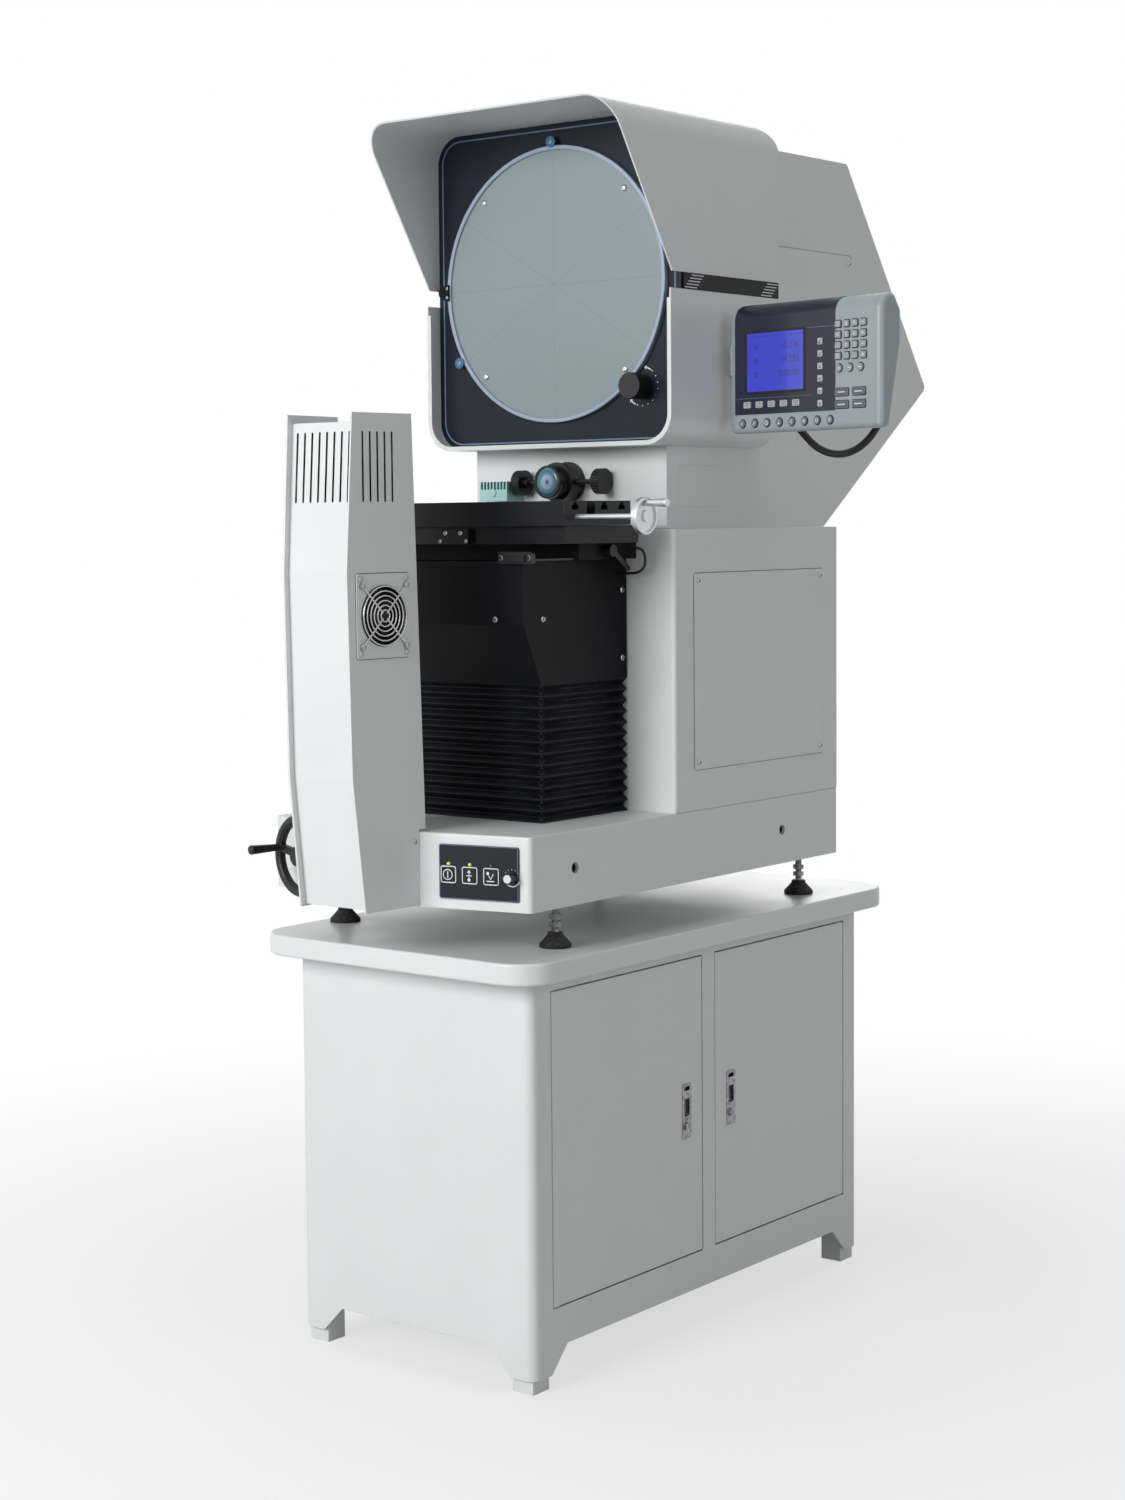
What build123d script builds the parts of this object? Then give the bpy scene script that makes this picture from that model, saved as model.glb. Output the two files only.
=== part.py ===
from build123d import *

import math
import os

# Floor-standing profile projector on its cabinet. Millimetres, +Z up, floor at Z = 0.
# The operator stands on the -Y side. X and Y below are measured from the median plane of
# the instrument and from the front face of the cabinet, and level, facing and flank move them
# to the origin under the middle of the whole object.

# Cabinet
cabinet_width = 437
cabinet_depth = 864
cabinet_shift = 16
cabinet_sheet = 2.5
cabinet_corner = 16
skirt_bottom = 20.5
skirt_opening_top = 59
skirt_leg_width = 40
skirt_leg_splay = 38
cabinet_top = 585
floor_panel_top = 100
leg_side = 36
leg_wall = 3
leg_inset = 7
door_width = 367
door_height = 447
door_bottom = 116
door_thickness = 16
door_sheet = 2
door_gap = 2
door_stile = 32
door_fold_radius = 1
hinge_inset = 9
hinge_depth = 5
hinge_pin_radius = 2
hinge_pin_reach = 8
hinge_tab = 14
hinge_play = 0.15
pull_width = 23
pull_height = 84
pull_lip = 1.2
pull_cup_depth = 9
pull_cup_wall = 2
pull_edge_distance = 41
pull_center_z = 335
pull_lock_radius = 6.5
pull_lock_height = 30

# Work board
board_top = 616
board_side_overhang = 40
board_front_overhang = 52
board_rear_overhang = 44
board_corner = 59
board_edge_radius = 4

# Levelling feet
foot_side_distance = 40
foot_front_y = 102
foot_rear_y = 739
foot_radius = 23
foot_neck_radius = 11
foot_rim = 5
foot_cone = 13
foot_neck = 4
stud_radius = 5
stud_play = 0.25
stud_grip = 26
nut_radius = 9.5
nut_thickness = 7
nut_levels = (7, 18)

# Base housing
base_bottom = 679.5
base_height = 105
base_half_width = 240
base_rear_y = 794
base_corner_y = -3
base_slant = 12
base_nose_half_width = 73
base_wall = 8
base_corner_radius = 8
base_edge_radius = 3
boss_radius = 17
lifting_hole_radius = 8
lifting_hole_front_y = 97
lifting_hole_rear_y = 629
lifting_hole_height = 52.5

# Control panel on the right slanted face
panel_width = 123
panel_height = 76
panel_plate = 3
panel_from_corner = 79
panel_corner = 3
button_side = 20
button_height = 8
button_travel = 2
button_pitch = 33.2
button_first_x = -46.5
button_row_y = -4
button_play = 0.3
button_guide = 14
frame_side = 23
frame_wall = 1.2
frame_height = 1
lamp_radius = 2.4
lamp_row_y = 11
knob_x = 51.4
knob_radius = 8.5
knob_height = 14
knob_shaft_radius = 3
switch_box_depth = 24

# Lift handwheel on the left slanted face and lift screw
lift_wheel_tower_gap = 10.4
lift_wheel_z = 737
lift_wheel_radius = 60
lift_wheel_rim = 7
lift_wheel_standoff = 32
lift_hub_radius = 14
lift_spoke_width = 11
lift_spoke_depth = 7
lift_shaft_radius = 7
lift_shaft_play = 0.05
grip_from_axis = 50
grip_root_radius = 5
grip_end_radius = 7
grip_length = 48
grip_gap = 0.4
grip_pin_radius = 2.5
grip_pin_reach = 34
grip_pin_play = 0.15
bearing_radius = 15
bearing_depth = 6
screw_radius = 9
screw_play = 0.3
bevel_radius = 24
bevel_height = 12
bevel_teeth = 18

# Lower column
column_front_y = 341
column_top = 1201
column_wall = 3
column_corner = 6
rail_half_spacing = 96
rail_width = 24
rail_depth = 14
rail_top = 1094
cover_plate = 1.5
column_cover_width = 357
column_cover_height = 291
column_cover_center_y = 569
column_cover_center_z = 990
cover_lap = 14
screw_head_radius = 4.2
screw_head_height = 1.6

# Upper column and rear housing
housing_half_width = 182
housing_front_y = 405
housing_top = 1788
housing_top_rear_y = 917
housing_apex_y = 1174
housing_apex_z = 1434
housing_foot_rear_y = 845
housing_wall = 3
housing_corner = 9
service_front_y = 650
service_rear_y = 930
service_bottom = 1385
service_top = 1640
blank_center_y = 497
blank_center_z = 1265
blank_width = 122
blank_height = 62
blank_corner = 7
blank_relief = 0.8
mirror_thickness = 6
upper_mirror_width = 300
upper_mirror_length = 360
lower_mirror_width = 240
lower_mirror_length = 280

# Head
head_half_width = 232
head_rear_y = 635
head_sheet = 2.5
head_bend = 46
hood_top = 1814
hood_bottom = 1575
hood_rim_top_y = 198
hood_rim_bottom_y = 352
hood_rear_bend = 42
shroud_bottom = 1324.5
shroud_top = 1550.5
shroud_front_y = 347
shroud_lip = 7
shroud_lip_depth = 8
seam_gap = 0.3
bezel_y = 375
bezel_plate = 5
bezel_play = 0.1
screen_z = 1571
ring_outer_radius = 207.5
ring_inner_radius = 201
ring_front_y = 367
ring_rear_y = 384
ring_play = 0.7
glass_play = 0.1
glass_radius = 204.5
glass_thickness = 5
glass_front_y = 371
clip_circle_radius = 188
clip_radius = 4.5
clip_height = 4
roller_circle_radius = 213
roller_flange_radius = 8.5
roller_flange = 2.5
roller_pin_radius = 2.5
roll_gap = 0.15
running_play = 0.05
rotation_knob_x = 160
rotation_knob_z = 1412
rotation_knob_radius = 19.5
rotation_knob_depth = 22
rotation_knob_front_y = 341
friction_width = 7
knob_pin_radius = 5
index_center = 219
index_foot = 10
index_width = 28
index_height = 18
index_thickness = 2.5

# Strips between hood and shroud
strip_lap = 9
strip_back = 2
strip_recess = 0.5

# Projection lens
lens_z = 1273.5
lens_hole_radius = 23
mount_flange_radius = 31
mount_flange = 6
collar_radius = 30
collar_bore = 24
collar_front_y = 372
barrel_front_y = 349
barrel_radius = 23
barrel_bore = 18
lens_seat = 8
barrel_bezel_radius = 25
lens_glass_radius = 21.5
stub_y = 385
stub_radius = 4
side_knob_inner = 60
side_knob_outer = 84
side_knob_radius = 19.5
side_knob_neck_radius = 9
side_knob_neck = 9
splitter_width = 34
splitter_height = 26
splitter_thickness = 1.5
light_inner_x = -88
light_outer_x = -142
light_front_y = 362
light_top = 1276
light_height = 30
fin_depth = 12
fin_count = 9
fin_thickness = 2.5

# Lift box, bellows and stage
lift_half_width = 155
lift_rear_gap = 2
box_top = 1158.5
box_bottom = 982.5
box_front_y = 94
box_kink_z = 1068
box_foot_front_y = 133
box_wall = 4
lift_travel = 50
bellows_pleats = 12
bellows_fold = 9
bellows_wall = 2
nut_block = 44
nut_block_height = 30
box_screw_x = 104
carriage_depth = 30
carriage_bottom = 1004
carriage_top = 1088
bed_half_width = 176
bed_front_y = 196
bed_rear_y = 335
bed_thickness = 24
saddle_half_width = 214
saddle_front_y = 112
saddle_rear_y = 290
saddle_thickness = 25
bracket_x = 19
bracket_width = 56
bracket_height = 22
bracket_thickness = 8
slide_gap = 0.3
focus_travel = 38
table_half_width = 225
table_front_y = 97
table_rail_depth = 53
table_gap = 20
table_rear_depth = 84
table_height = 34.5
table_web = 9
table_travel = 100
tee_neck = 9
tee_neck_depth = 6
tee_foot = 16
tee_foot_depth = 6.5
table_shaft_radius = 4
table_shaft_length = 118
table_shaft_z = 1220
table_shaft_bore = 60
table_shaft_y = 124
table_wheel_radius = 25.5
table_wheel_thickness = 9
table_wheel_rim = 4
table_wheel_hub = 8
table_pin_radius = 2.5
table_pin_reach = 20
table_grip_radius = 4.5
table_grip_end = 6
table_grip_length = 34
table_grip_offset = 18
focus_knob_radius = 16
focus_knob_thickness = 16
focus_knob_gap = 3
focus_shaft_radius = 4
focus_shaft_y = 200
focus_axis_z = 1190
focus_bore = 60
connector_x = 148
connector_front_y = 84
connector_depth = 8
connector_width = 60
connector_height = 17
connector_rise = 5
connector_plate = 3
lever_y = 262
lever_z = 1171
lever_hub_radius = 9
lever_hub_length = 13
lever_length = 46
lever_width = 8
lever_lean = math.radians(35)
cable_diameter = 4
cable_y = 322
cable_entry_drop = 22

# Lamp tower
tower_front_half_width = 62
tower_spread = 4.7
tower_bottom = 681
tower_top = 1364
tower_sheet = 3
tower_foot_front_y = -142
tower_low_front_y = -163
tower_low_z = 865
tower_high_front_y = -168.5
tower_high_z = 1147
tower_head_front_y = -155
tower_head_rear_y = -44
tower_rear_y = -26
tower_notch_z = 788
tower_base_gap = 0.3
cover_recess = 10
cover_sheet = 2
slot_bottom = 1243
slot_top = 1339
slot_width = 3.6
front_slots = 8
side_slots = 5
slot_pitch = 13.7
side_slot_center_y = -109
fan_center_y = -103
fan_center_z = 1088
fan_plate_width = 100
fan_plate_height = 116
fan_opening_radius = 42
fan_side = 92
fan_depth = 25
fan_hole_spacing = 82.5
fan_blades = 7
fan_rotor_radius = 39.5
fan_hub_radius = 17
fan_plate = 2
fan_strut = 3
fan_pin_radius = 3
fan_gap = 0.6
fan_rotor_depth = 17
fan_pin_reach = 12
blade_chord = 18
blade_thickness = 1.6
blade_center = 7.6
blade_pitch = 42
guard_lift = 3
guard_arm_mid_radius = 33
guard_arm_length = 56
guard_foot_radius = 4.5
guard_wire = 1.2
guard_rings = (8, 14.5, 21, 27.5, 34, 40.5)
guard_arms = 4
condenser_radius = 33
condenser_front_y = -90
condenser_rear_y = -14
condenser_glass = 10
lamp_house_depth = 30
lamp_post_height = 60
lamp_foot_height = 10

# Digital readout
display_x = 254
display_y = 466
display_bottom = 1340.5
display_width = 297
display_height = 188
display_turn = 11.1
display_top_depth = 30
display_depth = 44
display_foot_depth = 20
display_back_top = 165
display_back_bottom = 120
case_round = 3
case_wall = 3
fascia_plate = 0.8
key_web = 1.5
key_web_gap = 0.2
display_fascia_left = 12
display_fascia_right = 211
display_fascia_bottom = 24
window_left = 33
window_bottom = 57
window_width = 120
window_height = 91
window_plate = 1.5
key_rise = 2.2
key_travel = 1
key_play = 0.3
number_key_left = 217
number_key_top = 148
number_pitch_x = 15.8
number_pitch_y = 15
number_key_width = 10.5
number_key_height = 9
round_key_left = 219
round_key_y = 86
round_key_pitch = 20
round_key_radius = 5.2
wide_key_left = 224
wide_key_top = 52
wide_key_pitch_x = 32
wide_key_pitch_y = 17.5
wide_key_width = 24
wide_key_height = 10
menu_key_left = 38
menu_key_y = 41
menu_key_pitch = 24.4
menu_key_width = 14
menu_key_height = 9
menu_key_count = 5
side_key_x = 183
side_key_top = 126
side_key_pitch = 17.6
side_key_count = 6
side_key_side = 9
shape_key_left = 27
shape_key_y = 14
shape_key_pitch = 24.9
shape_key_count = 8
shape_key_radius = 5.6
arm_height = 110
arm_radius = 6
arm_behind = 56
arm_boss_radius = 11
arm_reach = 28
arm_ear_left = 34
arm_ear_right = 150
arm_plate_width = 60
arm_plate_height = 46
arm_plate = 4
ear_width = 14
conduit_diameter = 11
conduit_y = 583
conduit_z = 1375
conduit_u = 205
conduit_depth = 30
conduit_height = 94
conduit_hole_radius = 13

# Feet keep their distance from the flanks, and the lift handwheel clears the tower
foot_half_width = base_half_width - foot_side_distance
lift_wheel_x = tower_front_half_width + lift_wheel_tower_gap + lift_wheel_radius
lift_wheel_from_corner = (base_half_width - lift_wheel_x) / math.cos(math.radians(base_slant))

# Overall reach, which puts the origin under the middle of the object
board_half_width = cabinet_width / 2 + board_side_overhang
reach_left = board_half_width - cabinet_shift
turn = math.radians(display_turn)
reach_right = (
    display_x + display_width * math.cos(turn) + display_depth * math.sin(turn)
)
mid_x = (reach_left - reach_right) / 2
front_y = (-tower_high_front_y - housing_apex_y) / 2


def level(z, x=0.0, y=0.0):
    return Plane((mid_x + x, front_y + y, z))


def facing(y, x=0.0, z=0.0):
    # Seen by the operator: X to the right, Z up, extrusions come forward.
    return Plane((mid_x + x, front_y + y, z), x_dir=(1, 0, 0), z_dir=(0, -1, 0))


def flank(x, y=0.0, z=0.0):
    # Seen from the right: Y to the right, Z up, extrusions go to +X.
    return Plane((mid_x + x, front_y + y, z), x_dir=(0, 1, 0), z_dir=(1, 0, 0))


os.makedirs("parts", exist_ok=True)


def save(piece, label):
    piece.part.label = label
    export_step(piece.part, f"parts/{label}.step")


# Cabinet body: folded sheet with skirt cut-outs, two door openings and four tube legs
cabinet_right = cabinet_shift + cabinet_width / 2
cabinet_left = cabinet_shift - cabinet_width / 2
cabinet_mid_y = cabinet_depth / 2
door_centers_y = [
    cabinet_mid_y - (door_stile + door_width) / 2 - door_gap,
    cabinet_mid_y + (door_stile + door_width) / 2 + door_gap,
]
door_mid_z = door_bottom + door_height / 2
door_top = door_bottom + door_height
hinge_x = cabinet_right - hinge_depth
hinge_ys = [
    door_centers_y[0] - door_width / 2 + hinge_inset,
    door_centers_y[1] + door_width / 2 - hinge_inset,
]


def skirt_opening(length):
    # Trapezoid whose sides splay down to the corner legs.
    foot = length / 2 - skirt_leg_width
    crown = foot - skirt_leg_splay
    top = skirt_opening_top - skirt_bottom
    Polygon((-foot, -1), (foot, -1), (crown, top), (-crown, top), align=None)


with BuildPart() as cabinet_body:
    with BuildSketch(level(skirt_bottom, cabinet_shift, cabinet_mid_y)):
        RectangleRounded(cabinet_width, cabinet_depth, cabinet_corner)
    extrude(amount=cabinet_top - skirt_bottom)
    for room_bottom, room_top in (
        (skirt_bottom, floor_panel_top - cabinet_sheet),
        (floor_panel_top, cabinet_top - cabinet_sheet),
    ):
        with BuildSketch(level(room_bottom, cabinet_shift, cabinet_mid_y)):
            RectangleRounded(
                cabinet_width - 2 * cabinet_sheet,
                cabinet_depth - 2 * cabinet_sheet,
                cabinet_corner - cabinet_sheet,
            )
        extrude(amount=room_top - room_bottom, mode=Mode.SUBTRACT)
    with BuildSketch(facing(-1, cabinet_shift, skirt_bottom)):
        skirt_opening(cabinet_width)
    extrude(amount=-cabinet_depth - 2, mode=Mode.SUBTRACT)
    with BuildSketch(flank(cabinet_right + 1, cabinet_mid_y, skirt_bottom)):
        skirt_opening(cabinet_depth)
    extrude(amount=-cabinet_width - 2, mode=Mode.SUBTRACT)
    with BuildSketch(flank(cabinet_right + 1, 0, door_mid_z)):
        with Locations(*[(y, 0) for y in door_centers_y]):
            Rectangle(door_width + 2 * door_gap, door_height + 2 * door_gap)
    extrude(amount=-cabinet_sheet - 2, mode=Mode.SUBTRACT)
    with BuildSketch(level(0, cabinet_shift, cabinet_mid_y)):
        with GridLocations(
            cabinet_width - 2 * leg_inset - leg_side,
            cabinet_depth - 2 * leg_inset - leg_side,
            2,
            2,
        ):
            Rectangle(leg_side, leg_side)
            Rectangle(leg_side - 2 * leg_wall, leg_side - 2 * leg_wall, mode=Mode.SUBTRACT)
    extrude(amount=floor_panel_top - cabinet_sheet)
    tab_depth = 2 * (hinge_depth - cabinet_sheet) + hinge_pin_radius
    for z, way in ((door_top + door_gap / 2, 1), (door_bottom - door_gap / 2, -1)):
        with BuildSketch(level(z, cabinet_right - cabinet_sheet - tab_depth / 2)):
            with Locations(*[(0, y) for y in hinge_ys]):
                Rectangle(tab_depth, hinge_tab)
        extrude(amount=way * hinge_tab)
        with BuildSketch(level(z, hinge_x)):
            with Locations(*[(0, y) for y in hinge_ys]):
                Circle(hinge_pin_radius)
        extrude(amount=-way * (hinge_pin_reach + door_gap / 2))
save(cabinet_body, "cabinet_body")

# Doors: folded pans, flush with the cabinet's side, hung on pins at their outer corners
pull_sides = (1, -1)
door_names = ("door_front", "door_rear")
pull_names = ("door_pull_front", "door_pull_rear")
for index in range(2):
    door_y = door_centers_y[index]
    pull_y = door_y + pull_sides[index] * (door_width / 2 - pull_edge_distance)
    with BuildPart() as door:
        with BuildSketch(flank(cabinet_right, door_y, door_mid_z)):
            Rectangle(door_width, door_height)
        extrude(amount=-door_thickness)
        front_edges = door.faces().sort_by(Axis.X)[-1].edges()
        fillet(front_edges, door_fold_radius)
        with BuildSketch(flank(cabinet_right - door_sheet, door_y, door_mid_z)):
            Rectangle(door_width - 2 * door_sheet, door_height - 2 * door_sheet)
        extrude(amount=-door_thickness, mode=Mode.SUBTRACT)
        with BuildSketch(flank(cabinet_right + 1, pull_y, pull_center_z)):
            Rectangle(pull_width - 4, pull_height - 4)
        extrude(amount=-door_thickness, mode=Mode.SUBTRACT)
        with BuildSketch(level(door_bottom - 1, hinge_x)):
            with Locations((0, hinge_ys[index])):
                Circle(hinge_pin_radius + hinge_play)
        extrude(amount=door_height + 2, mode=Mode.SUBTRACT)
    save(door, door_names[index])

    with BuildPart() as pull:
        with BuildSketch(flank(cabinet_right, pull_y, pull_center_z)):
            RectangleRounded(pull_width, pull_height, 3)
        extrude(amount=pull_lip)
        with BuildSketch(flank(cabinet_right, pull_y, pull_center_z)):
            Rectangle(pull_width - 5, pull_height - 5)
        extrude(amount=-pull_cup_depth)
        with BuildSketch(flank(cabinet_right + pull_lip, pull_y, pull_center_z)):
            with Locations((0, pull_lock_height / 2)):
                RectangleRounded(
                    pull_width - 5 - 2 * pull_cup_wall,
                    pull_height - 5 - 2 * pull_cup_wall - pull_lock_height,
                    3,
                )
        extrude(amount=-pull_cup_depth - pull_lip + pull_cup_wall, mode=Mode.SUBTRACT)
        with BuildSketch(flank(cabinet_right + pull_lip, pull_y, pull_center_z)):
            with Locations((0, pull_lock_height / 2 + 10)):
                RectangleRounded(pull_width - 8, 12, 2)
        extrude(amount=-4)
        lock_z = pull_lock_height / 2 - pull_height / 2 + 4
        with BuildSketch(flank(cabinet_right + pull_lip, pull_y, pull_center_z)):
            with Locations((0, lock_z)):
                Circle(pull_lock_radius)
        extrude(amount=3)
        with BuildSketch(flank(cabinet_right + pull_lip + 3, pull_y, pull_center_z)):
            with Locations((0, lock_z)):
                Rectangle(1.6, 6)
        extrude(amount=-1.5, mode=Mode.SUBTRACT)
    save(pull, pull_names[index])

# Work board
board_depth = board_front_overhang + cabinet_depth + board_rear_overhang
board_mid_y = (cabinet_depth + board_rear_overhang - board_front_overhang) / 2
board_thickness = board_top - cabinet_top
with BuildPart() as work_board:
    with BuildSketch(level(cabinet_top, cabinet_shift, board_mid_y)):
        RectangleRounded(2 * board_half_width, board_depth, board_corner)
    extrude(amount=board_thickness)
    fillet(work_board.faces().sort_by(Axis.Z)[-1].edges(), board_edge_radius)
    fillet(work_board.faces().sort_by(Axis.Z)[0].edges(), board_edge_radius)
save(work_board, "work_board")

# Levelling feet
foot_mid_y = (foot_front_y + foot_rear_y) / 2
foot_span_y = foot_rear_y - foot_front_y
foot_height = foot_rim + foot_cone + foot_neck
pad_top = board_top + foot_height
with BuildPart() as foot_pads:
    with BuildSketch(level(board_top, 0, foot_mid_y)):
        with GridLocations(2 * foot_half_width, foot_span_y, 2, 2):
            Circle(foot_radius)
    extrude(amount=foot_rim)
    with BuildSketch(level(board_top + foot_rim, 0, foot_mid_y)):
        with GridLocations(2 * foot_half_width, foot_span_y, 2, 2):
            Circle(foot_radius)
    cone_taper = math.degrees(math.atan((foot_radius - foot_neck_radius) / foot_cone))
    extrude(amount=foot_cone, taper=cone_taper)
    with BuildSketch(level(pad_top - foot_neck, 0, foot_mid_y)):
        with GridLocations(2 * foot_half_width, foot_span_y, 2, 2):
            Circle(foot_neck_radius)
    extrude(amount=foot_neck)
    fillet(foot_pads.edges().group_by(Axis.Z)[-1], 2)
    fillet(foot_pads.edges().group_by(Axis.Z)[0], 1.5)
save(foot_pads, "foot_pads")

with BuildPart() as foot_studs:
    with BuildSketch(level(pad_top, 0, foot_mid_y)):
        with GridLocations(2 * foot_half_width, foot_span_y, 2, 2):
            Circle(stud_radius)
    extrude(amount=base_bottom + stud_grip - pad_top)
    for nut_level in nut_levels:
        with BuildSketch(level(pad_top + nut_level, 0, foot_mid_y)):
            with GridLocations(2 * foot_half_width, foot_span_y, 2, 2):
                RegularPolygon(nut_radius, 6)
        extrude(amount=nut_thickness)
save(foot_studs, "foot_studs")

# Base housing: an inverted tray whose front runs out in two slanted faces to a narrow nose
base_top = base_bottom + base_height
slant = math.radians(base_slant)
slant_run = (base_half_width - base_nose_half_width) * math.tan(slant)
nose_y = base_corner_y - slant_run
screw_x = -(base_half_width - lift_wheel_from_corner * math.cos(slant))
screw_reach = (foot_front_y + 160 - base_corner_y) / math.cos(slant)


def slanted_face(side, from_corner, z, out=0.0):
    # side is +1 on the right, -1 on the left; from_corner runs along the face to the nose.
    x = side * (base_half_width - from_corner * math.cos(slant))
    y = base_corner_y - from_corner * math.sin(slant)
    normal = (side * math.sin(slant), -math.cos(slant), 0)
    return Plane(
        (mid_x + x + normal[0] * out, front_y + y + normal[1] * out, z),
        x_dir=(math.cos(slant), side * math.sin(slant), 0),
        z_dir=normal,
    )


def base_outline():
    Polygon(
        (-base_half_width, base_rear_y),
        (-base_half_width, base_corner_y),
        (-base_nose_half_width, nose_y),
        (base_nose_half_width, nose_y),
        (base_half_width, base_corner_y),
        (base_half_width, base_rear_y),
        align=None,
    )


# The handwheel shaft runs square to its face, and the lift screw stands in its line.
wheel_face_x = -(base_half_width - lift_wheel_from_corner * math.cos(slant))
wheel_face_y = base_corner_y - lift_wheel_from_corner * math.sin(slant)
shaft_run = 288
lift_screw_x = wheel_face_x + shaft_run * math.sin(slant)
lift_screw_y = wheel_face_y + shaft_run * math.cos(slant)
bevel_play = 0.4
bevel_axis_z = lift_wheel_z

with BuildPart() as base_housing:
    with BuildSketch(level(base_bottom)):
        base_outline()
    extrude(amount=base_height)
    fillet(base_housing.edges().filter_by(Axis.Z), base_corner_radius)
    fillet(base_housing.faces().sort_by(Axis.Z)[-1].edges(), base_edge_radius)
    with BuildSketch(level(base_bottom)):
        base_outline()
        offset(amount=-base_wall, kind=Kind.INTERSECTION, mode=Mode.REPLACE)
    extrude(amount=base_height - base_wall, mode=Mode.SUBTRACT)
    with BuildSketch(level(base_bottom, 0, foot_mid_y)):
        with GridLocations(2 * foot_half_width, foot_span_y, 2, 2):
            Circle(boss_radius)
    extrude(amount=base_height - base_wall)
    with BuildSketch(level(base_bottom, 0, foot_mid_y)):
        with GridLocations(2 * foot_half_width, foot_span_y, 2, 2):
            Circle(stud_radius + stud_play)
    extrude(amount=stud_grip + 4, mode=Mode.SUBTRACT)
    with BuildSketch(flank(base_half_width + 1, 0, base_bottom + lifting_hole_height)):
        with Locations((lifting_hole_front_y, 0), (lifting_hole_rear_y, 0)):
            Circle(lifting_hole_radius)
    extrude(amount=-2 * base_half_width - 2, mode=Mode.SUBTRACT)
    with BuildSketch(slanted_face(1, panel_from_corner, base_bottom + base_height / 2, 1)):
        RectangleRounded(panel_width - 10, panel_height - 10, 2)
    extrude(amount=-base_wall - 4, mode=Mode.SUBTRACT)
    with BuildSketch(slanted_face(-1, lift_wheel_from_corner, lift_wheel_z)):
        Circle(bearing_radius)
    extrude(amount=bearing_depth)
    with BuildSketch(slanted_face(-1, lift_wheel_from_corner, lift_wheel_z, 20)):
        Circle(lift_shaft_radius + lift_shaft_play)
    extrude(amount=-20 - base_wall - 20, mode=Mode.SUBTRACT)
    with BuildSketch(level(base_top + 1, lift_screw_x, lift_screw_y)):
        Circle(screw_radius + screw_play)
    extrude(amount=-base_wall - 2, mode=Mode.SUBTRACT)
save(base_housing, "base_housing")

# Control panel: plate, switch box behind it, key frames and three lamps
panel_z = base_bottom + base_height / 2
button_xs = [button_first_x + button_pitch * n for n in range(3)]
with BuildPart() as control_panel:
    with BuildSketch(slanted_face(1, panel_from_corner, panel_z)):
        RectangleRounded(panel_width, panel_height, panel_corner)
    extrude(amount=panel_plate)
    with BuildSketch(slanted_face(1, panel_from_corner, panel_z)):
        RectangleRounded(panel_width - 12, panel_height - 12, 2)
    extrude(amount=-switch_box_depth)
    with BuildSketch(slanted_face(1, panel_from_corner, panel_z, panel_plate)):
        with Locations(*[(x, button_row_y) for x in button_xs]):
            Rectangle(frame_side, frame_side)
    extrude(amount=frame_height)
    with BuildSketch(slanted_face(1, panel_from_corner, panel_z, panel_plate + frame_height)):
        with Locations(*[(x, button_row_y) for x in button_xs]):
            Rectangle(button_side + 2 * button_play, button_side + 2 * button_play)
    extrude(amount=-frame_height - button_guide, mode=Mode.SUBTRACT)
    with BuildSketch(slanted_face(1, panel_from_corner, panel_z, panel_plate)):
        with Locations(*[(x, lamp_row_y) for x in button_xs]):
            Circle(lamp_radius)
    extrude(amount=1.6)
    with BuildSketch(slanted_face(1, panel_from_corner, panel_z, panel_plate)):
        with Locations((knob_x, button_row_y)):
            Circle(knob_shaft_radius + 0.1)
    extrude(amount=-button_guide, mode=Mode.SUBTRACT)
save(control_panel, "control_panel")

button_names = ("power_button", "contour_button", "surface_button")
panel_axis = Axis((0, 0, 0), (math.sin(slant), -math.cos(slant), 0))
button_root = panel_plate + frame_height - button_guide + button_travel
for index in range(3):
    with BuildPart() as button:
        with BuildSketch(slanted_face(1, panel_from_corner, panel_z, button_root)):
            with Locations((button_xs[index], button_row_y)):
                Rectangle(button_side, button_side)
        extrude(amount=panel_plate + frame_height + button_travel - button_root)
        fillet(button.faces().sort_by(panel_axis)[-1].edges(), 0.8)
    save(button, button_names[index])

with BuildPart() as brightness_knob:
    with BuildSketch(slanted_face(1, panel_from_corner, panel_z, panel_plate + 0.5)):
        with Locations((knob_x, button_row_y)):
            Circle(knob_radius)
    extrude(amount=knob_height, taper=4)
    with BuildSketch(slanted_face(1, panel_from_corner, panel_z, panel_plate + 0.5)):
        with Locations((knob_x, button_row_y)):
            Circle(knob_shaft_radius)
    extrude(amount=-button_guide + 4)
    with BuildSketch(slanted_face(1, panel_from_corner, panel_z, panel_plate + knob_height)):
        with Locations((knob_x, button_row_y + knob_radius / 2)):
            Rectangle(1.4, knob_radius)
    extrude(amount=2, mode=Mode.SUBTRACT)
save(brightness_knob, "brightness_knob")


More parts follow.
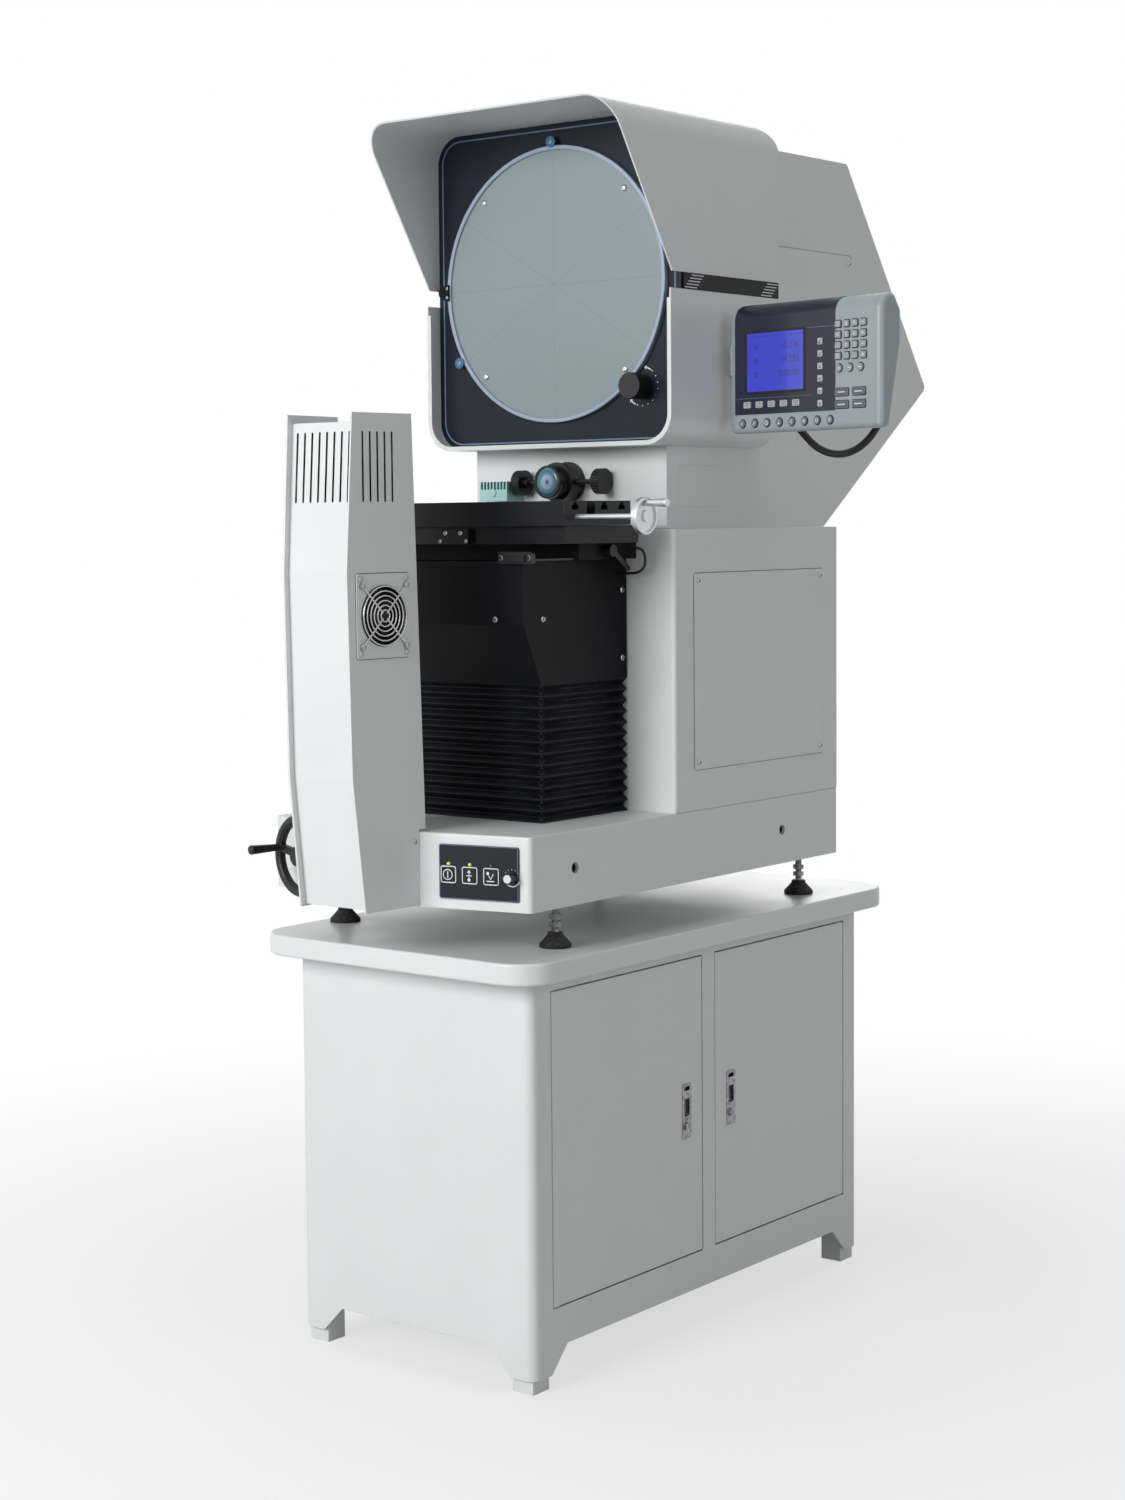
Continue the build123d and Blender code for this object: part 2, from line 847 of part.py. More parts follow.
# Lift handwheel with its shaft and bevel wheel, its grip, and the lift screw
grip_angle = math.radians(170)
grip_at = (grip_from_axis * math.cos(grip_angle), grip_from_axis * math.sin(grip_angle))
grip_out = lift_wheel_standoff + lift_wheel_rim + grip_gap
with BuildPart() as lift_handwheel:
    with BuildSketch(slanted_face(-1, lift_wheel_from_corner, lift_wheel_z, lift_wheel_standoff)):
        Circle(lift_wheel_radius)
        Circle(lift_wheel_radius - 2 * lift_wheel_rim, mode=Mode.SUBTRACT)
    extrude(amount=lift_wheel_rim, both=True)
    rim_edges = lift_handwheel.edges()
    fillet(rim_edges, lift_wheel_rim - 1.5)
    with BuildSketch(slanted_face(-1, lift_wheel_from_corner, lift_wheel_z, lift_wheel_standoff)):
        with PolarLocations((lift_wheel_radius - lift_wheel_rim) / 2, 3, start_angle=50):
            Rectangle(lift_wheel_radius - lift_wheel_rim, lift_spoke_width)
    extrude(amount=lift_spoke_depth / 2, both=True)
    with BuildSketch(slanted_face(-1, lift_wheel_from_corner, lift_wheel_z, lift_wheel_standoff)):
        Circle(lift_hub_radius)
    extrude(amount=lift_wheel_rim + 3, both=True)
    with BuildSketch(slanted_face(-1, lift_wheel_from_corner, lift_wheel_z, lift_wheel_standoff)):
        Circle(lift_shaft_radius)
    extrude(amount=-lift_wheel_standoff - shaft_run + bevel_radius)
    bevel_back = bevel_radius - shaft_run
    with BuildSketch(slanted_face(-1, lift_wheel_from_corner, lift_wheel_z, bevel_back)):
        Circle(bevel_radius - bevel_play)
    extrude(amount=-bevel_height, taper=45)
    with BuildSketch(slanted_face(-1, lift_wheel_from_corner, lift_wheel_z, lift_wheel_standoff)):
        with Locations(grip_at):
            Circle(grip_pin_radius)
    extrude(amount=grip_out - lift_wheel_standoff + grip_pin_reach)
save(lift_handwheel, "lift_handwheel")

with BuildPart() as lift_grip:
    with BuildSketch(slanted_face(-1, lift_wheel_from_corner, lift_wheel_z, grip_out)):
        with Locations(grip_at):
            Circle(grip_root_radius)
    grip_flare = math.degrees(math.atan((grip_end_radius - grip_root_radius) / grip_length))
    extrude(amount=grip_length, taper=-grip_flare)
    end_axis = Axis((0, 0, 0), (-math.sin(slant), -math.cos(slant), 0))
    fillet(lift_grip.faces().sort_by(end_axis)[-1].edges(), 2.5)
    with BuildSketch(slanted_face(-1, lift_wheel_from_corner, lift_wheel_z, grip_out - 1)):
        with Locations(grip_at):
            Circle(grip_pin_radius + grip_pin_play)
    extrude(amount=grip_pin_reach + 2, mode=Mode.SUBTRACT)
save(lift_grip, "lift_grip")

with BuildPart() as lift_screw:
    with BuildSketch(level(lift_wheel_z + bevel_radius, lift_screw_x, lift_screw_y)):
        Circle(screw_radius)
    extrude(amount=rail_top - 6 - lift_wheel_z - bevel_radius)
    with BuildSketch(level(lift_wheel_z + bevel_radius, lift_screw_x, lift_screw_y)):
        Circle(bevel_radius)
    extrude(amount=-bevel_height, taper=45)
save(lift_screw, "lift_screw")

# Lower column with its two slide rails on the front
column_mid_y = (column_front_y + base_rear_y) / 2
column_depth = base_rear_y - column_front_y
column_height = column_top - base_top
with BuildPart() as lower_column:
    with BuildSketch(level(base_top, 0, column_mid_y)):
        RectangleRounded(2 * base_half_width, column_depth, column_corner)
    extrude(amount=column_height)
    fillet(lower_column.faces().sort_by(Axis.Z)[-1].edges(), 1.5)
    with BuildSketch(level(base_top, 0, column_mid_y)):
        RectangleRounded(
            2 * (base_half_width - column_wall),
            column_depth - 2 * column_wall,
            column_corner - column_wall,
        )
    extrude(amount=column_height - column_wall, mode=Mode.SUBTRACT)
    with BuildSketch(flank(base_half_width + 1, column_cover_center_y, column_cover_center_z)):
        Rectangle(column_cover_width - 2 * cover_lap, column_cover_height - 2 * cover_lap)
    extrude(amount=-column_wall - 2, mode=Mode.SUBTRACT)
    with BuildSketch(level(base_top + slide_gap, 0, column_front_y - rail_depth / 2)):
        with GridLocations(2 * rail_half_spacing, 0, 2, 1):
            Rectangle(rail_width, rail_depth)
    extrude(amount=rail_top - base_top - slide_gap)
save(lower_column, "lower_column")

# Upper column and rear housing: one bent-sheet box, hollow, open toward the screen
housing_wide_z = housing_top - shroud_bottom


def housing_outline():
    Polygon(
        (housing_front_y, column_top),
        (housing_foot_rear_y, column_top),
        (housing_apex_y, housing_apex_z),
        (housing_top_rear_y, housing_top),
        (housing_front_y, housing_top),
        align=None,
    )


with BuildPart() as upper_housing:
    with BuildSketch(flank(-housing_half_width)) as housing_side:
        housing_outline()
        fillet(housing_side.vertices().group_by(Axis.Z)[-1], housing_corner)
    extrude(amount=2 * housing_half_width)
    with BuildSketch(flank(housing_wall - housing_half_width)):
        housing_outline()
        offset(amount=-housing_wall, kind=Kind.INTERSECTION, mode=Mode.REPLACE)
    extrude(amount=2 * (housing_half_width - housing_wall), mode=Mode.SUBTRACT)
    screen_window_bottom = shroud_bottom + 12
    screen_window_top = housing_top - 12
    with BuildSketch(
        facing(housing_front_y - 1, 0, (screen_window_bottom + screen_window_top) / 2)
    ):
        Rectangle(
            2 * (housing_half_width - housing_wall - 6), screen_window_top - screen_window_bottom
        )
    extrude(amount=-housing_wall - 2, mode=Mode.SUBTRACT)
    with BuildSketch(facing(housing_front_y - 1, 0, lens_z)):
        Circle(lens_hole_radius)
    extrude(amount=-housing_wall - 2, mode=Mode.SUBTRACT)
    with BuildSketch(flank(housing_half_width, blank_center_y, blank_center_z)):
        RectangleRounded(blank_width, blank_height, blank_corner)
    extrude(amount=blank_relief)
    service_mid_y = (service_front_y + service_rear_y) / 2
    service_mid_z = (service_bottom + service_top) / 2
    service_width = service_rear_y - service_front_y
    service_height = service_top - service_bottom
    with BuildSketch(flank(housing_half_width + 1, service_mid_y, service_mid_z)):
        Rectangle(service_width - 2 * cover_lap, service_height - 2 * cover_lap)
    extrude(amount=-housing_wall - 2, mode=Mode.SUBTRACT)
save(upper_housing, "upper_housing")

# Covers screwed over the service openings, and all their screws
with BuildPart() as side_covers:
    with BuildSketch(flank(base_half_width, column_cover_center_y, column_cover_center_z)):
        RectangleRounded(column_cover_width, column_cover_height, 3)
    extrude(amount=cover_plate)
    with BuildSketch(flank(housing_half_width, service_mid_y, service_mid_z)):
        RectangleRounded(service_width, service_height, 12)
    extrude(amount=cover_plate)
save(side_covers, "side_covers")

with BuildPart() as cover_screws:
    with BuildSketch(
        flank(base_half_width + cover_plate, column_cover_center_y, column_cover_center_z)
    ):
        with GridLocations(column_cover_width - 20, column_cover_height - 22, 2, 2):
            Circle(screw_head_radius)
    extrude(amount=screw_head_height)
    with BuildSketch(flank(housing_half_width + cover_plate, service_mid_y, service_mid_z)):
        with GridLocations(service_width - 16, service_height - 26, 2, 2):
            Circle(screw_head_radius)
    extrude(amount=screw_head_height)
    fillet(cover_screws.edges().group_by(Axis.X)[-1], 0.8)
save(cover_screws, "cover_screws")

# Folding mirrors: one leans over the lens inside the column, one on the sloping back
back_angle = math.atan2(housing_apex_y - housing_top_rear_y, housing_top - housing_apex_z)
mirror_gap = 0.3


def mirror_plane(y, z, lean):
    return Plane(
        (mid_x, front_y + y, z),
        x_dir=(1, 0, 0),
        z_dir=(0, -math.cos(lean), math.sin(lean)),
    )


with BuildPart() as folding_mirrors:
    upper_mid_y = (housing_top_rear_y + housing_apex_y) / 2
    upper_mid_z = (housing_top + housing_apex_z) / 2
    inset = housing_wall + mirror_gap
    normal_y = -math.cos(back_angle)
    normal_z = -math.sin(back_angle)
    with BuildSketch(
        mirror_plane(upper_mid_y + inset * normal_y, upper_mid_z + inset * normal_z, -back_angle)
    ):
        Rectangle(upper_mirror_width, upper_mirror_length)
    extrude(amount=mirror_thickness)
    lower_angle = math.atan2(housing_apex_y - housing_foot_rear_y, housing_apex_z - column_top)
    lower_mid_y = (housing_foot_rear_y + housing_apex_y) / 2
    lower_mid_z = (column_top + housing_apex_z) / 2
    with BuildSketch(
        mirror_plane(
            lower_mid_y - inset * math.cos(lower_angle),
            lower_mid_z + inset * math.sin(lower_angle),
            lower_angle,
        )
    ):
        Rectangle(lower_mirror_width, lower_mirror_length)
    extrude(amount=mirror_thickness)
save(folding_mirrors, "folding_mirrors")


# Head: hood above, shroud below, both bent sheet around the housing
rim_slope = (hood_rim_top_y - hood_rim_bottom_y) / (hood_top - hood_bottom)


def head_section(inset, low, high):
    half = head_half_width - inset
    Polygon((-half, low), (half, low), (half, high), (-half, high), align=None)


def hood_side(inset, front_reach):
    # Seen from the right: slanted open front, square foot, back rounded at the top.
    rear = head_rear_y - inset
    low = hood_bottom - front_reach
    high = hood_top - inset
    Polygon(
        (hood_rim_bottom_y - rim_slope * front_reach - front_reach, low),
        (rear, low),
        (rear, high),
        (hood_rim_top_y - rim_slope * inset - front_reach, high),
        align=None,
    )


hood_solids = []
for inset, front_reach in ((0, 0), (head_sheet, 10)):
    with BuildPart() as hood_solid:
        with BuildSketch(facing(head_rear_y)) as hood_front:
            head_section(inset, hood_bottom - front_reach, hood_top - inset)
            fillet(hood_front.vertices().group_by(Axis.Y)[-1], head_bend - inset)
        extrude(amount=head_rear_y)
        with BuildSketch(flank(-head_half_width)) as hood_profile:
            hood_side(inset, front_reach)
            back_corner = hood_profile.vertices().group_by(Axis.Y)[-1].sort_by(Axis.X)[-1]
            fillet(back_corner, hood_rear_bend - inset)
        extrude(amount=2 * head_half_width, mode=Mode.INTERSECT)
    hood_solids.append(hood_solid.part)

with BuildPart() as hood:
    add(hood_solids[0])
    add(hood_solids[1], mode=Mode.SUBTRACT)
    room_height = housing_top + seam_gap - hood_bottom
    with BuildSketch(facing(head_rear_y + 1, 0, hood_bottom + room_height / 2)):
        Rectangle(2 * (housing_half_width + seam_gap), room_height)
    extrude(amount=hood_rear_bend + 1, mode=Mode.SUBTRACT)
save(hood, "hood")


with BuildPart() as head_shroud:
    with BuildSketch(facing(head_rear_y)) as shroud_outer:
        head_section(0, shroud_bottom, shroud_top)
        fillet(shroud_outer.vertices().group_by(Axis.Y)[0], head_bend)
    extrude(amount=head_rear_y - shroud_front_y)
    with BuildSketch(facing(head_rear_y - head_sheet)) as shroud_inner:
        head_section(head_sheet, shroud_bottom + head_sheet, shroud_top)
        fillet(shroud_inner.vertices().group_by(Axis.Y)[0], head_bend - head_sheet)
    shroud_room = head_rear_y - head_sheet - shroud_front_y - head_sheet
    extrude(amount=shroud_room, mode=Mode.SUBTRACT)
    with BuildSketch(facing(shroud_front_y + head_sheet + 1)) as shroud_mouth:
        head_section(shroud_lip, shroud_bottom + shroud_lip, shroud_top)
        fillet(shroud_mouth.vertices().group_by(Axis.Y)[0], head_bend - shroud_lip)
    extrude(amount=head_sheet + 5, mode=Mode.SUBTRACT)
    with BuildSketch(facing(shroud_front_y + head_sheet + 1, 0, shroud_top)):
        Rectangle(2 * (head_half_width - head_sheet), 4 * shroud_lip)
    extrude(amount=head_sheet + 5, mode=Mode.SUBTRACT)
    notch_front_y = housing_front_y - seam_gap
    with BuildSketch(level(shroud_bottom - 5, 0, (notch_front_y + head_rear_y + 5) / 2)):
        Rectangle(2 * (housing_half_width + seam_gap), head_rear_y + 5 - notch_front_y)
    extrude(amount=shroud_top - shroud_bottom + 10, mode=Mode.SUBTRACT)
save(head_shroud, "head_shroud")

# Black strips that close the slot between hood and shroud
strip_front_y = bezel_y + bezel_plate + 1
strip_length = head_rear_y - strip_front_y
strip_back_length = strip_length - head_sheet - seam_gap
strip_mid_z = (shroud_top + hood_bottom) / 2
with BuildPart() as trim_strips:
    for side in (-1, 1):
        outer_x = side * head_half_width
        with BuildSketch(level(shroud_top + seam_gap, 0, strip_front_y + strip_length / 2)):
            with Locations((outer_x - side * (head_sheet + strip_recess) / 2, 0)):
                Rectangle(head_sheet - strip_recess, strip_length)
        extrude(amount=hood_bottom - shroud_top - 2 * seam_gap)
        with BuildSketch(level(shroud_top - strip_lap, 0, strip_front_y + strip_back_length / 2)):
            with Locations((outer_x - side * (head_sheet + strip_back / 2), 0)):
                Rectangle(strip_back, strip_back_length)
        extrude(amount=hood_bottom - shroud_top + 2 * strip_lap)
save(trim_strips, "trim_strips")

# Bezel panel with the screen opening, flush inside hood and shroud
bezel_half_width = head_half_width - head_sheet - bezel_play
bezel_bottom = shroud_bottom + head_sheet + bezel_play
bezel_top = hood_top - head_sheet - bezel_play
knob_circle = math.hypot(rotation_knob_x, screen_z - rotation_knob_z)
friction_radius = knob_circle - ring_outer_radius - roll_gap
roller_body_radius = roller_circle_radius - ring_outer_radius - roll_gap
roller_angles = (90, 211)
with BuildPart() as bezel_panel:
    with BuildSketch(facing(bezel_y + bezel_plate)) as bezel_face:
        Polygon(
            (-bezel_half_width, bezel_bottom),
            (bezel_half_width, bezel_bottom),
            (bezel_half_width, bezel_top),
            (-bezel_half_width, bezel_top),
            align=None,
        )
        fillet(bezel_face.vertices(), head_bend - head_sheet)
        with Locations((0, screen_z)):
            Circle(ring_outer_radius + ring_play, mode=Mode.SUBTRACT)
        with Locations((0, screen_z)):
            for angle in roller_angles:
                with PolarLocations(roller_circle_radius, 1, start_angle=angle):
                    Circle(roller_pin_radius + running_play, mode=Mode.SUBTRACT)
        with Locations((rotation_knob_x, rotation_knob_z)):
            Circle(knob_pin_radius + running_play, mode=Mode.SUBTRACT)
    extrude(amount=bezel_plate)
save(bezel_panel, "bezel_panel")

# Rotating screen: grooved ring, ground glass and four chart clips
with BuildPart() as screen_ring:
    with BuildSketch(facing(ring_rear_y, 0, screen_z)):
        Circle(ring_outer_radius)
        Circle(ring_inner_radius, mode=Mode.SUBTRACT)
    extrude(amount=ring_rear_y - ring_front_y)
    chamfer(screen_ring.edges().group_by(Axis.Y)[0], 1)
    with BuildSketch(facing(ring_rear_y, 0, screen_z)):
        Circle(glass_radius + glass_play)
    extrude(amount=ring_rear_y - glass_front_y, mode=Mode.SUBTRACT)
save(screen_ring, "screen_ring")

with BuildPart() as screen_glass:
    with BuildSketch(facing(glass_front_y + glass_thickness, 0, screen_z)):
        Circle(glass_radius)
    extrude(amount=glass_thickness)
save(screen_glass, "screen_glass")

with BuildPart() as chart_clips:
    with BuildSketch(facing(glass_front_y, 0, screen_z)):
        with PolarLocations(clip_circle_radius, 4, start_angle=45):
            Circle(clip_radius)
    extrude(amount=clip_height)
    fillet(chart_clips.edges().group_by(Axis.Y)[0], 2.5)
save(chart_clips, "chart_clips")

roller_names = ("roller_top", "roller_left")
for index in range(2):
    angle = math.radians(roller_angles[index])
    roller_x = roller_circle_radius * math.cos(angle)
    roller_z = screen_z + roller_circle_radius * math.sin(angle)
    with BuildPart() as roller:
        with BuildSketch(facing(bezel_y - 0.5, roller_x, roller_z)):
            Circle(roller_body_radius)
        extrude(amount=bezel_y - ring_front_y)
        with BuildSketch(facing(ring_front_y - 0.5, roller_x, roller_z)):
            Circle(roller_flange_radius)
        extrude(amount=roller_flange)
        fillet(roller.edges().group_by(Axis.Y)[0], 0.8)
        with BuildSketch(facing(bezel_y + bezel_plate + 3, roller_x, roller_z)):
            Circle(roller_pin_radius)
        extrude(amount=bezel_plate + 6)
    save(roller, roller_names[index])

with BuildPart() as rotation_knob:
    with BuildSketch(facing(bezel_y - 0.5, rotation_knob_x, rotation_knob_z)):
        Circle(friction_radius)
    extrude(amount=friction_width)
    with BuildSketch(
        facing(rotation_knob_front_y + rotation_knob_depth, rotation_knob_x, rotation_knob_z)
    ):
        Circle(rotation_knob_radius)
        with PolarLocations(rotation_knob_radius + 0.4, 30):
            Circle(1.2, mode=Mode.SUBTRACT)
    extrude(amount=rotation_knob_depth)
    chamfer(rotation_knob.faces().sort_by(Axis.Y)[0].outer_wire().edges(), 0.6)
    with BuildSketch(facing(bezel_y + bezel_plate + 6, rotation_knob_x, rotation_knob_z)):
        Circle(knob_pin_radius)
    extrude(amount=bezel_plate + 6 + bezel_y - rotation_knob_front_y - 2)
save(rotation_knob, "rotation_knob")

with BuildPart() as index_plate:
    with BuildSketch(facing(bezel_y, -index_center, screen_z)):
        Rectangle(index_foot, index_height)
    extrude(amount=bezel_y - ring_front_y + 2)
    with BuildSketch(
        facing(ring_front_y - 1, index_width / 2 - index_center - index_foot / 2, screen_z)
    ):
        Rectangle(index_width, index_height)
        with Locations((index_width / 2, 0)):
            Rectangle(6, 1.2, mode=Mode.SUBTRACT)
    extrude(amount=index_thickness)
    with BuildSketch(facing(ring_front_y - 1 - index_thickness, -index_center, screen_z)):
        with GridLocations(0, index_height - 7, 1, 2):
            Circle(2)
    extrude(amount=1.2)
save(index_plate, "index_plate")

# Projection lens: flanged collar, barrel, front glass and the half mirror with its two knobs
with BuildPart() as lens_mount:
    with BuildSketch(facing(housing_front_y, 0, lens_z)):
        Circle(mount_flange_radius)
    extrude(amount=mount_flange)
    with BuildSketch(facing(housing_front_y - mount_flange, 0, lens_z)):
        Circle(collar_radius)
    extrude(amount=housing_front_y - mount_flange - collar_front_y)
    with BuildSketch(facing(housing_front_y - mount_flange, 0, lens_z)):
        Circle(collar_bore)
    extrude(amount=housing_front_y - mount_flange - collar_front_y, mode=Mode.SUBTRACT)
    with BuildSketch(facing(housing_front_y + 1, 0, lens_z)):
        Circle(barrel_bore)
    extrude(amount=mount_flange + 2, mode=Mode.SUBTRACT)
    window_depth = housing_front_y - mount_flange - collar_front_y - 8
    with BuildSketch(facing(collar_front_y + 4 + window_depth, 0, lens_z)):
        with GridLocations(0, 2 * collar_radius, 1, 2):
            Rectangle(collar_bore, collar_radius)
    extrude(amount=window_depth, mode=Mode.SUBTRACT)
    with BuildSketch(flank(-collar_radius - 1, stub_y, lens_z)):
        Circle(stub_radius + running_play)
    extrude(amount=2 * collar_radius + 2, mode=Mode.SUBTRACT)
save(lens_mount, "lens_mount")

with BuildPart() as lens_barrel:
    with BuildSketch(facing(collar_front_y, 0, lens_z)):
        Circle(barrel_bezel_radius)
    extrude(amount=collar_front_y - barrel_front_y)
    chamfer(lens_barrel.edges().group_by(Axis.Y)[0], 1)
    with BuildSketch(facing(collar_front_y - 9, 0, lens_z)):
        Circle(barrel_bezel_radius)
        Circle(barrel_radius, mode=Mode.SUBTRACT)
    extrude(amount=4, mode=Mode.SUBTRACT)
    with BuildSketch(facing(collar_front_y + 1, 0, lens_z)):
        Circle(barrel_bore)
    extrude(amount=collar_front_y - barrel_front_y + 2, mode=Mode.SUBTRACT)
    with BuildSketch(facing(barrel_front_y - 1, 0, lens_z)):
        Circle(lens_glass_radius)
    extrude(amount=-lens_seat - 1, mode=Mode.SUBTRACT)
save(lens_barrel, "lens_barrel")

with BuildPart() as lens_glass:
    with BuildSketch(facing(barrel_front_y + lens_seat, 0, lens_z)):
        Circle(lens_glass_radius)
    extrude(amount=lens_seat - 0.5)
    fillet(lens_glass.edges().group_by(Axis.Y)[0], 4)
save(lens_glass, "lens_glass")

with BuildPart() as reflector_knobs:
    with BuildSketch(flank(-side_knob_inner, stub_y, lens_z)):
        Circle(stub_radius)
    extrude(amount=2 * side_knob_inner)
    with BuildSketch(flank(-splitter_width / 2, stub_y, lens_z)):
        Circle(stub_radius)
    extrude(amount=splitter_width, mode=Mode.SUBTRACT)
    with BuildSketch(flank(-splitter_width / 2, stub_y, lens_z)):
        Rectangle(splitter_height, splitter_thickness, rotation=45)
    extrude(amount=splitter_width)
    for side in (-1, 1):
        with BuildSketch(flank(side * side_knob_inner, stub_y, lens_z)):
            Circle(side_knob_neck_radius)
        extrude(amount=side * side_knob_neck)
        with BuildSketch(flank(side * (side_knob_inner + side_knob_neck), stub_y, lens_z)):
            Circle(side_knob_radius)
            with PolarLocations(side_knob_radius + 0.4, 28):
                Circle(1.2, mode=Mode.SUBTRACT)
        extrude(amount=side * (side_knob_outer - side_knob_inner - side_knob_neck))
save(reflector_knobs, "reflector_knobs")

# Surface light: finned block on an angle at the left of the lens
light_width = light_inner_x - light_outer_x
light_mid_x = (light_inner_x + light_outer_x) / 2
with BuildPart() as surface_light:
    with BuildSketch(level(light_top - light_height, light_mid_x)):
        with Locations((0, (housing_front_y + light_front_y) / 2)):
            Rectangle(light_width, housing_front_y - light_front_y)
    extrude(amount=light_height)
    fin_pitch = (light_width - fin_thickness) / (fin_count - 1)
    with BuildSketch(facing(light_front_y - 1, light_mid_x, light_top)):
        with GridLocations(fin_pitch, 0, fin_count - 1, 1):
            Rectangle(fin_pitch - fin_thickness, 2 * fin_depth)
    extrude(amount=light_front_y - housing_front_y - 2, mode=Mode.SUBTRACT)
    with BuildSketch(facing(light_front_y, light_mid_x, light_top - light_height / 2 - 2)):
        Circle(6)
    extrude(amount=2)
save(surface_light, "surface_light")

# Lift box: sheet cover with a fixed carriage on the rails and the nut of the lift screw;
# the bed lies across it
lift_rear_y = column_front_y - lift_rear_gap


def box_side(inset):
    Polygon(
        (box_foot_front_y + inset, box_bottom),
        (box_front_y + inset, box_kink_z),
        (box_front_y + inset, box_top - inset),
        (lift_rear_y, box_top - inset),
        (lift_rear_y, box_bottom),
        align=None,
    )


with BuildPart() as lift_box:
    with BuildSketch(flank(-lift_half_width)):
        box_side(0)
    extrude(amount=2 * lift_half_width)
    with BuildSketch(flank(box_wall - lift_half_width)):
        box_side(box_wall)
    extrude(amount=2 * (lift_half_width - box_wall), mode=Mode.SUBTRACT)
    carriage_mid_z = (carriage_bottom + carriage_top) / 2
    carriage_front_y = lift_rear_y - carriage_depth
    with BuildSketch(facing(lift_rear_y, 0, carriage_mid_z)):
        Rectangle(2 * (lift_half_width - box_wall), carriage_top - carriage_bottom)
    extrude(amount=carriage_depth)
    with BuildSketch(level(carriage_bottom, lift_screw_x, carriage_front_y)):
        with Locations((0, (lift_screw_y - carriage_front_y) / 2)):
            Rectangle(nut_block, carriage_front_y - lift_screw_y)
        with Locations((0, lift_screw_y - carriage_front_y)):
            Circle(nut_block / 2)
    extrude(amount=nut_block_height)
    with BuildSketch(level(box_bottom - 1, lift_screw_x, lift_screw_y)):
        Circle(screw_radius + running_play)
    extrude(amount=carriage_bottom + nut_block_height + 2 - box_bottom, mode=Mode.SUBTRACT)
    with BuildSketch(level(box_bottom - 1, 0, column_front_y - rail_depth / 2)):
        with GridLocations(2 * rail_half_spacing, 0, 2, 1):
            Rectangle(rail_width + 2 * running_play, rail_depth + 2 * running_play)
    extrude(amount=box_top - box_bottom - box_wall, mode=Mode.SUBTRACT)
    bed_mid_y = (bed_front_y + bed_rear_y) / 2
    with BuildSketch(level(box_top, 0, bed_mid_y)):
        Rectangle(2 * bed_half_width, bed_rear_y - bed_front_y)
    extrude(amount=bed_thickness)
    for side in (-1, 1):
        with BuildSketch(flank(side * lift_half_width)):
            with Locations(*[(lift_rear_y - 12, box_top - 46), (lift_rear_y - 12, box_bottom + 30)]):
                Circle(screw_head_radius)
        extrude(amount=side * screw_head_height)
    with BuildSketch(facing(box_front_y, 0, box_kink_z + 8)):
        with GridLocations(2 * box_screw_x, 0, 2, 1):
            Circle(screw_head_radius)
    extrude(amount=screw_head_height)
save(lift_box, "lift_box")

# Bellows: one zigzag sheet led around three sides, open at the column
bellows_height = box_bottom - base_top
fold_height = bellows_height / (2 * bellows_pleats)
fold_levels = range(2 * bellows_pleats + 1)
outer_line = [((n % 2) * bellows_fold, n * fold_height) for n in fold_levels]
inner_line = [(x + bellows_wall, z) for x, z in reversed(outer_line)]
bellows_front_y = box_foot_front_y
with BuildPart() as bellows:
    with BuildLine() as bellows_path:
        left_x = mid_x - lift_half_width
        right_x = mid_x + lift_half_width
        Polyline(
            (left_x, front_y + lift_rear_y, base_top),
            (left_x, front_y + bellows_front_y, base_top),
            (right_x, front_y + bellows_front_y, base_top),
            (right_x, front_y + lift_rear_y, base_top),
        )
    with BuildSketch(facing(lift_rear_y, -lift_half_width, base_top)):
        Polygon(*outer_line, *inner_line, align=None)
    sweep(path=bellows_path.line, transition=Transition.RIGHT)
save(bellows, "bellows")

# Saddle slides toward the lens on the bed; the table slides across on the saddle
bed_top = box_top + bed_thickness
saddle_bottom = bed_top + slide_gap
saddle_top = saddle_bottom + saddle_thickness
saddle_mid_y = (saddle_front_y + saddle_rear_y) / 2
with BuildPart() as stage_saddle:
    with BuildSketch(level(saddle_bottom, 0, saddle_mid_y)):
        Rectangle(2 * saddle_half_width, saddle_rear_y - saddle_front_y)
    extrude(amount=saddle_thickness)
    chamfer(stage_saddle.edges().filter_by(Axis.Z), 2)
    with BuildSketch(flank(-saddle_half_width - 1, focus_shaft_y, focus_axis_z)):
        Circle(focus_shaft_radius + running_play)
    extrude(amount=focus_bore, mode=Mode.SUBTRACT)
    with BuildSketch(facing(saddle_front_y, bracket_x, saddle_bottom + bracket_height / 2)):
        Rectangle(bracket_width, bracket_height)
    extrude(amount=bracket_thickness)
save(stage_saddle, "stage_saddle")

